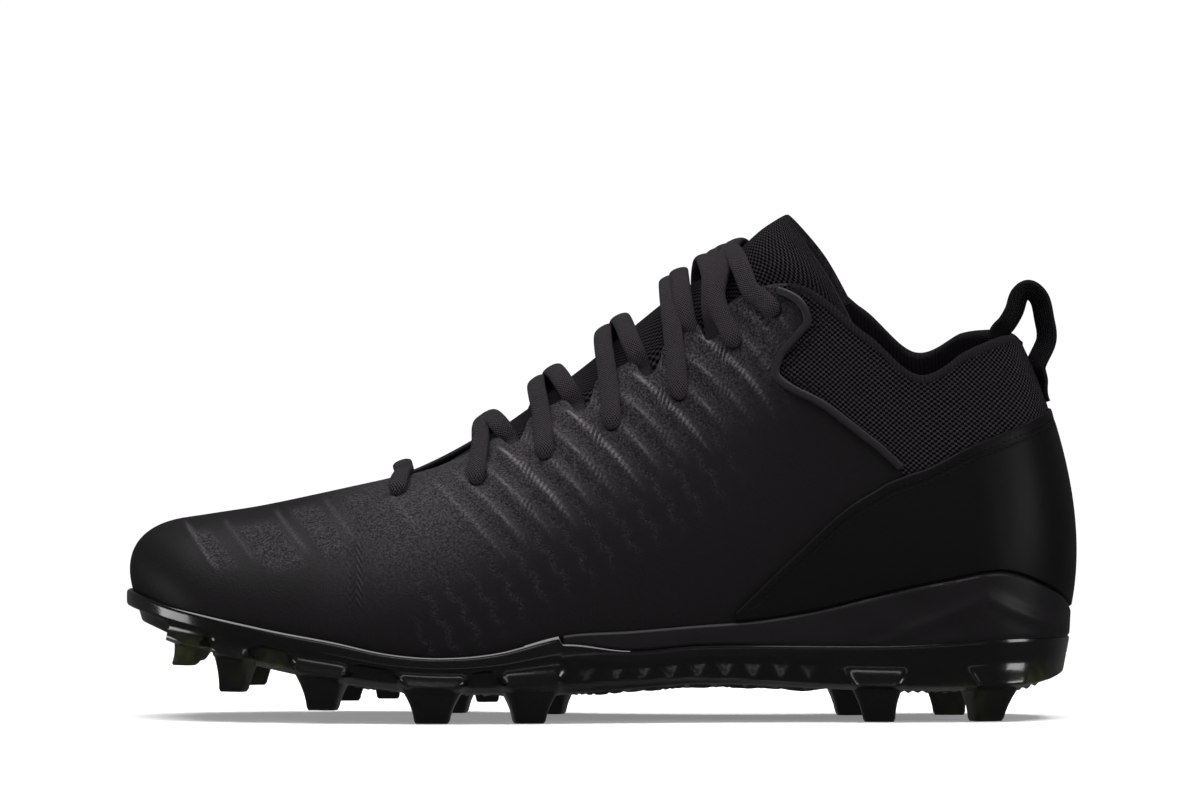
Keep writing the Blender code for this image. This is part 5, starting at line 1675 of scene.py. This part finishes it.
@dataclass
class Laces:
    """Flat braided lace through the eyelets."""

    steps: int = 72

    def bridge(self, row: float, share: float, lift: float) -> Array:
        """Point over the throat between its edges, share 0 lateral to 1 medial.

        Args:
            row: row of the tables.
            share: 0 at the lateral edge and 1 at the medial edge.
            lift: height over the throat in metres.

        Returns:
            The point.
        """
        ends, runs = [], []
        for side in Side:
            ring = np.atleast_1d(LAST.ring_at(row, side))
            skin = LAST.skin(ring, np.array([0.94, 1.0]))[0]
            ends.append(skin[1] + LAST.normal(ring, np.array([0.97]))[0, 0] * lift)
            runs.append(unit(skin[1] - skin[0]))
        reach = throat_lean(row) * np.linalg.norm(ends[1] - ends[0])
        control = np.stack([ends[0], ends[0] + runs[0] * reach, ends[1] + runs[1] * reach, ends[1]])
        return bernstein(np.array(share)) @ control

    def run(self, index: int, side: Side) -> tuple[list[Array], list[Array]]:
        """Path of the strand from an eyelet, and its outward directions.

        Args:
            index: which pair of eyelets.
            side: side of the shoe.

        Returns:
            The points and the outward direction at each.
        """
        row, start_share, over_medial, over_lateral = EYELETS[index]
        lift = 2.0 * SIZES.gap + 0.5 * SIZES.lace_thickness
        end_row = over_medial if side is Side.LATERAL else over_lateral
        edge_row = row + 0.4 * (end_row - row)
        points, outs = [], []
        for part in (0.10, 0.55, 1.0):
            ring = np.atleast_1d(LAST.ring_at(row + (edge_row - row) * part, side))
            share = start_share + (1.0 - start_share) * part
            outs.append(LAST.normal(ring, np.array([min(share, 0.97)]))[0, 0])
            points.append(LAST.skin(ring, np.array([share]))[0, 0] + outs[-1] * lift)
        for part in (0.2, 0.4, 0.6, 0.8, 0.95):
            at = edge_row + (end_row - edge_row) * part
            spot = part if side is Side.LATERAL else 1.0 - part
            low = self.bridge(at, spot, 0.0)
            outs.append(unit(self.bridge(at, spot, SIZES.lace_thickness) - low))
            points.append(low + outs[-1] * (lift * (1.0 - smooth(part, 0.8, 1.0))
                                            + SIZES.lace_arch * math.sin(math.pi * part)))
        far = np.atleast_1d(LAST.ring_at(end_row, Side.MEDIAL if side is Side.LATERAL else Side.LATERAL))
        for share in (0.975, 0.93):
            outs.append(LAST.normal(far, np.array([share]))[0, 0])
            points.append(LAST.inside(far, np.array([share]), 0.4 * SIZES.lace_thickness)[0, 0])
        return points, outs

    def into_hole(self, index: int, side: Side, points: list[Array],
                  outs: list[Array]) -> tuple[list[Array], list[Array]]:
        """Lead a strand's start down into its eyelet.

        Args:
            index: which pair of eyelets.
            side: side of the shoe.
            points: points of the strand.
            outs: outward directions.

        Returns:
            The longer points and directions.
        """
        row, share = EYELETS[index][:2]
        ring = np.atleast_1d(LAST.ring_at(row, side))
        hole = LAST.skin(ring, np.array([share]))[0, 0]
        out = LAST.normal(ring, np.array([share]))[0, 0]
        first = [hole - out * 4.0 * MM, hole - out * 0.8 * MM]
        toward = unit(hole - points[0])
        return first + points, [toward, unit(toward + out)] + outs

    def strand(self, name: str, points: list[Array], outs: list[Array], *nodes: str) -> None:
        """One strand as a flat rounded band that narrows where it enters a hole.

        Args:
            name: name of the piece.
            points: points that the lace runs through.
            outs: outward directions.
            nodes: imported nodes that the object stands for.
        """
        shares = np.linspace(0.0, 1.0, self.steps)
        centre = through(points, shares)
        run = unit(np.gradient(centre, axis=0))
        out = unit(through(outs, shares))
        wide = unit(np.cross(run, out))
        deep = unit(np.cross(wide, run))
        place = np.linspace(0, len(points) - 1, self.steps)
        squeeze = 1.0 - smooth(place, 0.6, 2.1)
        if name.startswith("lace_bar"):
            squeeze = np.maximum(squeeze, smooth(place, len(points) - 3.1, len(points) - 1.6))
        width = SIZES.lace_width * (1.0 - 0.42 * squeeze)
        thick = SIZES.lace_thickness * (1.25 + 0.15 * squeeze)
        loops = band_loops(centre, wide, deep, width, thick, 20, 2.2)
        show(loops_object(name, loops, LACE, Pattern.BRAID), LACE, *nodes)

    def build(self) -> None:
        """Make every strand."""
        left, left_outs = self.run(0, Side.LATERAL)
        right, right_outs = self.run(0, Side.MEDIAL)
        left, left_outs = self.into_hole(0, Side.LATERAL, left, left_outs)
        right, right_outs = self.into_hole(0, Side.MEDIAL, right, right_outs)
        self.strand("lace_bar", left[:7] + right[5::-1], left_outs[:7] + right_outs[5::-1], "lace_bar_1")
        for index in range(1, len(EYELETS)):
            node = "lace_cross_" + str(index + 1) if index < 5 else "lace_cross_top"
            for side in Side:
                points, outs = self.into_hole(index, side, *self.run(index, side))
                name = "lace_strand_" + str(index + 1) + "_" + side.name.lower()
                nodes = [node] if side is Side.LATERAL and index != 6 else []
                self.strand(name, points, outs, *nodes)


@dataclass
class PullLoop:
    """Grosgrain loop at the heel."""

    steps: int = 150
    # turn of the webbing about its own line, in degrees
    twist: float = 36.0

    def build(self) -> None:
        """Make the twisted webbing band."""
        heel = np.array([float(LAST_ROW)])
        standoff = SIZES.gap + 0.5 * SIZES.loop_thickness
        points = []
        for height in LOOP_SEWN:
            share = LAST.share_at(heel, height * SIZES.heel_height)
            points.append(LAST.beyond(heel, share, standoff + SIZES.gap)[0, 0])
        for along, height in LOOP_TOP:
            points.append(np.array([(along - 0.5) * SIZES.length, 0.0, height * SIZES.heel_height]))
        for share in LOOP_TUCKED:
            points.append(LAST.inside(heel, np.array([share]), standoff + 1.2 * MM)[0, 0])
        shares = np.linspace(0.0, 1.0, self.steps)
        centre = through(points, shares)
        run = unit(np.gradient(centre, axis=0))
        twist = math.radians(self.twist) * smooth(shares, 0.02, 0.12) * (1.0 - smooth(shares, 0.74, 0.86))
        flat = np.array([0.0, 1.0, 0.0])
        thick = unit(np.cross(run, flat))
        wide = flat * np.cos(twist)[:, None] + thick * np.sin(twist)[:, None]
        deep = unit(np.cross(run, wide))
        loops = band_loops(centre, wide, deep, SIZES.loop_width, SIZES.loop_thickness, 26, 6.0)
        item = loops_object("pull_loop_webbing", loops, WEBBING, Pattern.WOVEN)
        show(item, WEBBING, "pull_loop")


class Patches:
    """Grids of points gathered into one mesh."""

    def __init__(self) -> None:
        """Start with no grids."""
        self.grids: list[Array] = []
        self.faces: list[tuple[int, ...]] = []
        self.count = 0

    def add(self, grid: Array, wrap_rows: bool = False, wrap_columns: bool = False) -> int:
        """Add a grid of points with its quads.

        Args:
            grid: points (R, C, 3).
            wrap_rows: whether the last row joins the first.
            wrap_columns: whether the last column joins the first.

        Returns:
            The index of the grid's first point.
        """
        first = self.count
        quads = grid_faces(*grid.shape[:2], wrap_rows, wrap_columns)
        self.grids.append(grid.reshape(-1, 3))
        self.faces += [tuple(first + v for v in quad) for quad in quads]
        self.count += grid.shape[0] * grid.shape[1]
        return first

    def points(self) -> Array:
        """All points in the order of their indices."""
        return np.concatenate(self.grids)


def between(left: Array, right: Array, steps: int) -> Array:
    """Grid of points from one line to another, with steps points across."""
    parts = np.linspace(0.0, 1.0, steps)[None, :, None]
    return left[:, None] * (1.0 - parts) + right[:, None] * parts


@dataclass
class Sole:
    """Glossy plate with studs, matte midsole wedge and footbed."""

    side_levels: int = 30
    cross: int = 16
    stud_levels: int = 15
    stud_corners: int = 32
    stud_sink: float = 3.6 * MM
    insole_steps: int = 25
    insole_dish: float = 0.7 * MM

    @staticmethod
    def rings(count: int, start: float = 0.0) -> tuple[Array, Array]:
        """Places along one side and right round."""
        rows = np.linspace(start, LAST_ROW, count)
        return rows, np.concatenate([rows, 2 * LAST_ROW - rows[-2:0:-1]])

    @staticmethod
    def halves(chain: Array, count: int, level: int) -> tuple[Array, Array]:
        """Points of one level of a ring on the lateral side, and those opposite them, toe first.

        Args:
            chain: points (N, K, 3) round the sole.
            count: number of points on a side.
            level: which column of the chain.

        Returns:
            The points of the lateral side, and those opposite them.
        """
        level_points = chain[:, level]
        back = level_points[:count - 1:-1]
        return level_points[:count], np.concatenate([level_points[:1], back, level_points[count - 1:count]])

    @staticmethod
    def stud_pull(x: Array, side_sign: Array, share: Array) -> Array:
        """How much the side wall runs out into a stud's buttress at x.

        Args:
            x: places along the shoe in metres.
            side_sign: sign of the side, -1 lateral.
            share: 0 at the plate's foot and 1 at its rim.

        Returns:
            The pull, between 0 and 1.
        """
        pull = np.zeros_like(x)
        for along, side, _, root, *_ in STUDS[:14]:
            if side == 0:
                continue
            centre = (along - 0.5) * SIZES.length
            half = 0.5 * root * SIZES.length * (0.80 + 0.75 * share ** 1.3)
            near = 1.0 - smooth(np.abs(x - centre), 0.80 * half, 1.12 * half)
            pull = np.maximum(pull, near * (side == np.sign(side_sign)))
        return pull

    def plate(self) -> None:
        """Plate: rim lip, recessed side wall between the buttresses, underside with nubs."""
        rows, ring = self.rings(330)
        low = LAST.under_height(ring)
        wedged = LAST.has_midsole(ring)
        parted = np.where(wedged, LAST.foot_value("parting", ring) * SIZES.sole_height - SIZES.gap,
                          LAST.rim_height(ring))
        levels = np.linspace(1.0, 0.0, self.side_levels)
        heights = low[:, None] + (parted - low)[:, None] * levels[None, :]
        side = LAST.side_points(ring, heights)
        out = LAST.outward(ring)[:, None]
        row = LAST.row_of(ring)
        sign = np.broadcast_to(LAST.sign_of(ring)[:, None], heights.shape)
        x = side[..., 0]
        share = np.broadcast_to(levels[None, :], heights.shape)
        pull = self.stud_pull(x, sign, share)
        in_front = (1.0 - smooth(row, 8.6, 9.4))[:, None]
        window = 1.0 - smooth(share, 0.50, 0.62)
        recess = window * (1.0 - pull) * in_front * 3.0
        lip = smooth(share, 0.60, 0.70) * in_front * 0.25
        edge = 0.9 * (1.0 - np.sqrt(1.0 - np.clip((share - 0.90) / 0.10, 0.0, 1.0) ** 2))
        waist = smooth(row, 8.9, 9.6)[:, None] * (1.0 - smooth(row, 12.6, 13.2))[:, None]
        tooth = np.abs(np.mod(x / MM / 8.6, 1.0) * 2.0 - 1.0)
        bar = np.exp(-((share * 1.25 - 0.12 - tooth * 0.72) / 0.22) ** 2)
        truss = waist * (bar * 0.35 - 0.9) * smooth(share, 0.02, 0.12) * (1.0 - smooth(share, 0.55, 0.66))
        buttress = 2.6 * pull * (1.0 - smooth(share, 0.0, 0.55))
        shape = (lip + buttress + truss - recess - edge) * MM
        side = side + out * shape[..., None]
        inner_top = np.where(wedged[:, None], side[:, 0] - out[:, 0] * MM,
                             LAST.rim_line(ring, LAST.rim_height(ring), SIZES.gap))
        inner_top[:, 2] = side[:, 0, 2]
        inset = np.where(wedged, -SIZES.seat_inset, SIZES.gap)[:, None]
        foot_in = LAST.beside_foot(ring, inset, LAST.plate_floor(ring))
        chain = np.concatenate([foot_in[:, None], inner_top[:, None], side], axis=1)
        patches = Patches()
        patches.add(chain, wrap_rows=True)
        steps = self.cross * 4 + 1
        patches.add(self.underside(between(*self.halves(chain, len(rows), chain.shape[1] - 1), steps)))
        patches.add(between(*self.halves(chain, len(rows), 0), steps))
        points = patches.points()
        # the lit mask paints olive highlights on the plate at the toe, forefoot studs and heel
        item = make_object("sole_plate", points, patches.faces, [MATERIALS.get(PLATE, Pattern.SMOOTH)],
                           masks={"lit": self.painted_plate_highlights(points)}, sharp=34.0)
        show(item, PLATE, "outsole")

    @staticmethod
    def painted_plate_highlights(points: Array) -> Array:
        """Mask of the painted highlights on the plate, olive, at the toe, by the forefoot studs and at the
        heel.

        Args:
            points: points (..., 3).

        Returns:
            The mask for each point.
        """
        x, z = points[..., 0] / MM, points[..., 2] / MM
        toe = hump(x, -131.0, 16.0) * (1.0 - smooth(z, 22.0, 30.0))
        ball = hump(x, -104.0, 14.0) * (1.0 - smooth(z, 18.0, 24.0))
        heel = hump(x, 112.0, 12.0) * (1.0 - smooth(z, 9.0, 14.0))
        heel = heel + hump(x, 136.0, 10.0) * (1.0 - smooth(z, 16.0, 20.0))
        mottle = 0.55 + 0.45 * np.sin(x * 0.9) * np.cos(points[..., 1] / MM * 0.7 + z)
        return np.clip((toe + 0.8 * ball + 0.7 * heel) * mottle, 0.0, 1.0)

    @staticmethod
    def underside(sheet: Array) -> Array:
        """Triangular facets, ribs and small nubs under the plate.

        Args:
            sheet: points (R, C, 3) of the underside.

        Returns:
            The points with the relief.
        """
        x, y = sheet[..., 0] / MM, sheet[..., 1] / MM
        across = np.linspace(0.0, 1.0, sheet.shape[1])[None, :]
        inside = smooth(np.minimum(across, 1.0 - across), 0.0, 0.10)
        waves = [np.abs(np.mod((x * math.cos(a) + y * math.sin(a)) / 9.0, 1.0) * 2.0 - 1.0)
                 for a in (0.0, math.pi / 3.0, 2.0 * math.pi / 3.0)]
        truss = np.maximum(np.maximum(waves[0], waves[1]), waves[2])
        ribs = smooth(truss, 0.80, 0.97)
        waist = smooth(x, -14.0, 0.0) * (1.0 - smooth(x, 62.0, 74.0))
        front = smooth(x, -96.0, -84.0) * (1.0 - smooth(x, -14.0, -4.0))
        beads = np.clip(np.sin(x * 1.1) * np.sin(y * 1.1), 0.0, 1.0)
        heel = smooth(x, 74.0, 84.0)
        drop = waist * ribs * 1.5 + front * (ribs * 0.9 + beads * 0.5) + heel * beads * 1.1
        sheet = sheet.copy()
        sheet[..., 2] -= drop * inside * MM
        return sheet

    def studs(self) -> None:
        """Tapered studs with rounded corners and hollowed flanks."""
        patches = Patches()
        for along, side, inset, root_a, root_c, tip_a, tip_c, tip, lean in STUDS:
            which = Side.MEDIAL if side > 0 else Side.LATERAL
            rows = np.linspace(0.0, LAST_ROW, 900)
            ring = float(LAST.ring_at(np.interp((along - 0.5) * SIZES.length,
                                                LAST.feather(LAST.ring_at(rows, which))[:, 0], rows), which))
            spot = LAST.feather(np.array([ring]))[0]
            if side:
                cross = LAST.outward(np.array([ring]))[0]
                centre = spot - cross * inset * SIZES.ball_width
                run = np.array([-cross[1], cross[0], 0.0])
            else:
                twin = LAST.feather(np.array([2 * LAST_ROW - ring]))[0]
                centre = 0.5 * (spot + twin)
                cross, run = np.array([0.0, -1.0, 0.0]), np.array([1.0, 0.0, 0.0])
            under = LAST.under_height(np.array([ring]))[0]
            foot = tip * SIZES.sole_height
            loops = []
            for part in np.linspace(0.0, 1.0, self.stud_levels):
                swell = (1.0 - part) ** 1.7
                size_a = (tip_a + (root_a - tip_a) * swell) * SIZES.length
                size_c = (tip_c + (root_c - tip_c) * swell) * SIZES.ball_width
                if part > 0.955:
                    size_a -= 0.9 * MM
                    size_c -= 0.9 * MM
                place = centre + np.array([lean * SIZES.length, 0.0, 0.0]) * part
                angle = 2.0 * math.pi * (np.arange(self.stud_corners) + 0.5) / self.stud_corners
                c, s = np.cos(angle), np.sin(angle)
                a = np.sign(c) * np.abs(c) ** 0.42
                b = np.sign(s) * np.abs(s) ** 0.42
                loop = place + 0.5 * size_a * a[:, None] * run + 0.5 * size_c * b[:, None] * cross
                if side:
                    loop = loop + np.maximum(b, 0.0)[:, None] * cross * 2.4 * MM * (1.0 - part) ** 0.8
                level = under + self.stud_sink + (foot - under - self.stud_sink) * part
                loop[:, 2] = max(level, foot)
                if 0.93 < part < 0.99:
                    loop[:, 2] = foot + 0.45 * MM
                loops.append(loop)
            first = patches.add(np.stack(loops), wrap_columns=True)
            last = first + (self.stud_levels - 1) * self.stud_corners
            patches.faces.append(tuple(last + j for j in range(self.stud_corners)))
            patches.faces.append(tuple(first + j for j in reversed(range(self.stud_corners))))
        points = patches.points()
        # the lit mask paints olive highlights on the studs at the toe, forefoot and heel
        item = make_object("studs", points, patches.faces, [MATERIALS.get(PLATE, Pattern.SMOOTH)],
                           masks={"lit": self.painted_plate_highlights(points)}, sharp=36.0)
        show(item, PLATE)

    def midsole(self) -> None:
        """Wedge with a crisp top edge and faceted heel wings."""
        side_rows = np.linspace(MIDSOLE_ROW + 0.06, LAST_ROW, 220)
        ring = np.concatenate([side_rows, 2 * LAST_ROW - side_rows[-2::-1]])
        low = LAST.foot_value("parting", ring) * SIZES.sole_height + SIZES.gap
        rim = LAST.rim_height(ring)
        levels = np.linspace(1.0, 0.0, 26)
        heights = low[:, None] + (rim - low)[:, None] * levels[None, :]
        side = LAST.side_points(ring, heights)
        out = LAST.outward(ring)[:, None]
        x, z = side[..., 0] / MM, side[..., 2] / MM
        tall = ((rim - low) / MM)[:, None]
        under_top = (1.0 - levels)[None, :] * tall
        bevel = -0.55 * (1.0 - smooth(under_top, 0.0, 1.1)) ** 2
        crest = 38.5 - np.abs(x - 120.0) * 0.42
        ridge = 0.55 * np.exp(-((z - crest) / 2.2) ** 2) * smooth(tall, 6.0, 12.0)
        lower = 0.30 * smooth(under_top / np.maximum(tall, 0.1), 0.55, 1.0)
        facet = 0.35 * np.abs(np.mod((x + 1.5 * z) / 34.0, 1.0) * 2.0 - 1.0) * smooth(tall, 3.0, 9.0)
        swell = (bevel + ridge + facet - 0.25 - lower * 0.3) * MM * smooth(tall, 0.4, 2.5)
        side = side + out * swell[..., None]
        top_in = LAST.rim_line(ring, rim, SIZES.gap)
        floor_in = LAST.beside_foot(ring, SIZES.gap, LAST.floor_height(ring) - SIZES.gap)
        seat = LAST.beside_foot(ring, -SIZES.seat_inset, LAST.plate_floor(ring) + SIZES.gap)
        chain = np.concatenate([floor_in[:, None], top_in[:, None], side, seat[:, None]], axis=1)
        count = chain.shape[1]
        half = len(side_rows)
        patches = Patches()
        patches.add(chain)
        for level in (0, count - 1):
            patches.add(between(chain[:half, level], chain[:half - 2:-1, level], 9))
        patches.faces.append(tuple(range(count)))
        patches.faces.append(tuple((len(ring) - 1) * count + j for j in reversed(range(count))))
        item = make_object("midsole_wedge", patches.points(), patches.faces,
                           [MATERIALS.get(FOAM, Pattern.FOAM)], sharp=32.0)
        show(item, FOAM, "midsole")

    def insole(self) -> None:
        """Dished footbed."""
        rows, ring = self.rings(120)
        loops = []
        for up in (0.0, SIZES.insole_thickness):
            share = LAST.share_at(ring, LAST.floor_height(ring) + up)[:, None]
            point = LAST.skin(ring, share)[:, 0] - LAST.outward(ring) * (SIZES.upper_wall + 2 * SIZES.gap)
            point[:, 2] = LAST.floor_height(ring) + up
            loops.append(point)
        chain = np.stack(loops, axis=1)
        patches = Patches()
        patches.add(chain, wrap_rows=True)
        for level in (0, 1):
            sheet = between(*self.halves(chain, len(rows), level), self.insole_steps)
            sheet[..., 2] -= level * self.insole_dish * np.sin(np.linspace(0.0, math.pi, self.insole_steps))
            patches.add(sheet)
        item = make_object("footbed", patches.points(), patches.faces,
                           [MATERIALS.get(FOOTBED, Pattern.KNIT)])
        show(item, FOOTBED, "insole")

    def build(self) -> None:
        """Make every piece of the sole."""
        self.plate()
        self.studs()
        self.midsole()
        self.insole()


@dataclass(frozen=True)
class Lamp:
    """Rectangular soft light: place and size in metres, power in watts, turn in degrees."""

    name: str
    place: tuple[float, float, float]
    size: tuple[float, float]
    power: float
    turn: tuple[float, float, float]


LAMPS = (
    Lamp("key", (0.0, -0.1, 1.1), (1.5, 1.1), 30.0, (-6.0, 0.0, 0.0)),
    Lamp("front", (-0.3, -1.6, 0.9), (1.4, 0.2), 3.0, (62.0, 0.0, -10.0)),
    Lamp("low", (0.0, -1.5, 0.10), (1.6, 0.05), 0.5, (88.0, 0.0, 0.0)),
    Lamp("toe", (-1.2, -0.1, 0.16), (0.8, 0.3), 5.0, (86.0, 0.0, -90.0)),
    Lamp("heel", (1.2, -0.6, 0.25), (0.4, 0.5), 5.0, (78.0, 0.0, 68.0)),
)


@dataclass
class Studio:
    """White sweep, soft lights and the photo's camera."""

    distance: float = 6.0
    elevation: float = math.radians(1.5)
    frame_width: float = 0.3746
    aim: tuple[float, float, float] = (-0.0005, 0.0, 0.0993)

    def build(self) -> None:
        """Make the stage, the lights and the camera."""
        scene = bpy.context.scene
        scene.view_settings.view_transform = "Standard"
        scene.view_settings.look = "None"
        self.floor()
        self.lights(scene)
        self.camera(scene)

    def floor(self) -> None:
        """White floor, and a white backdrop that only the camera sees."""
        white = bpy.data.materials.new("white_floor")
        white.use_nodes = True
        values = {"Base Color": colour("f6f5f6"), "Roughness": 0.9, "Specular IOR Level": 0.1,
                  "Emission Color": colour("fffdff"), "Emission Strength": 0.22}
        for key, value in values.items():
            white.node_tree.nodes["Principled BSDF"].inputs[key].default_value = value
        bpy.ops.mesh.primitive_circle_add(radius=0.55, vertices=96, fill_type="NGON")
        ground = bpy.context.object
        ground.name = "floor"
        ground.visible_glossy = False
        ground.data.materials.append(white)
        glow = bpy.data.materials.new("white_backdrop")
        glow.use_nodes = True
        tree = glow.node_tree
        tree.nodes.clear()
        lamp = add_node(tree, "ShaderNodeEmission", Color=colour("fffdff"), Strength=1.05)
        add_node(tree, "ShaderNodeOutputMaterial", Surface=lamp.outputs[0])
        bpy.ops.mesh.primitive_uv_sphere_add(radius=14.0, segments=24, ring_count=12)
        dome = bpy.context.object
        dome.name = "backdrop"
        dome.data.materials.append(glow)
        for flag in ("visible_diffuse", "visible_glossy", "visible_transmission", "visible_shadow"):
            setattr(dome, flag, False)

    @staticmethod
    def lights(scene: bpy.types.Scene) -> None:
        """Faint white world and the lamps.

        Args:
            scene: the scene.
        """
        world = bpy.data.worlds.new("studio")
        world.use_nodes = True
        world.node_tree.nodes["Background"].inputs[0].default_value = (1.0, 1.0, 1.0, 1.0)
        world.node_tree.nodes["Background"].inputs[1].default_value = 0.10
        scene.world = world
        for entry in LAMPS:
            data = bpy.data.lights.new(entry.name, "AREA")
            data.shape = "RECTANGLE"
            data.size, data.size_y = entry.size
            data.energy = entry.power
            lamp = bpy.data.objects.new(entry.name, data)
            lamp.location = entry.place
            lamp.rotation_euler = [math.radians(angle) for angle in entry.turn]
            scene.collection.objects.link(lamp)

    def camera(self, scene: bpy.types.Scene) -> None:
        """Long lens square to the lateral side.

        Args:
            scene: the scene.
        """
        data = bpy.data.cameras.new("photo_camera")
        data.sensor_width = 36.0
        data.lens = 36.0 * self.distance / self.frame_width
        data.clip_end = 60.0
        item = bpy.data.objects.new("photo_camera", data)
        item.location = (self.aim[0], -self.distance * math.cos(self.elevation),
                         self.aim[2] + self.distance * math.sin(self.elevation))
        item.rotation_euler = (math.pi / 2.0 - self.elevation, 0.0, 0.0)
        scene.collection.objects.link(item)
        scene.camera = item


def main() -> None:
    """Build the cleat's looks and the studio."""
    logging.basicConfig(level=logging.INFO)
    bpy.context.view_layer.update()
    stitcher = Stitcher()
    Upper().build()
    Overlays(stitcher).build()
    Tongue().build()
    Laces().build()
    PullLoop().build()
    Sole().build()
    Studio().build()


if __name__ == "__main__":
    main()
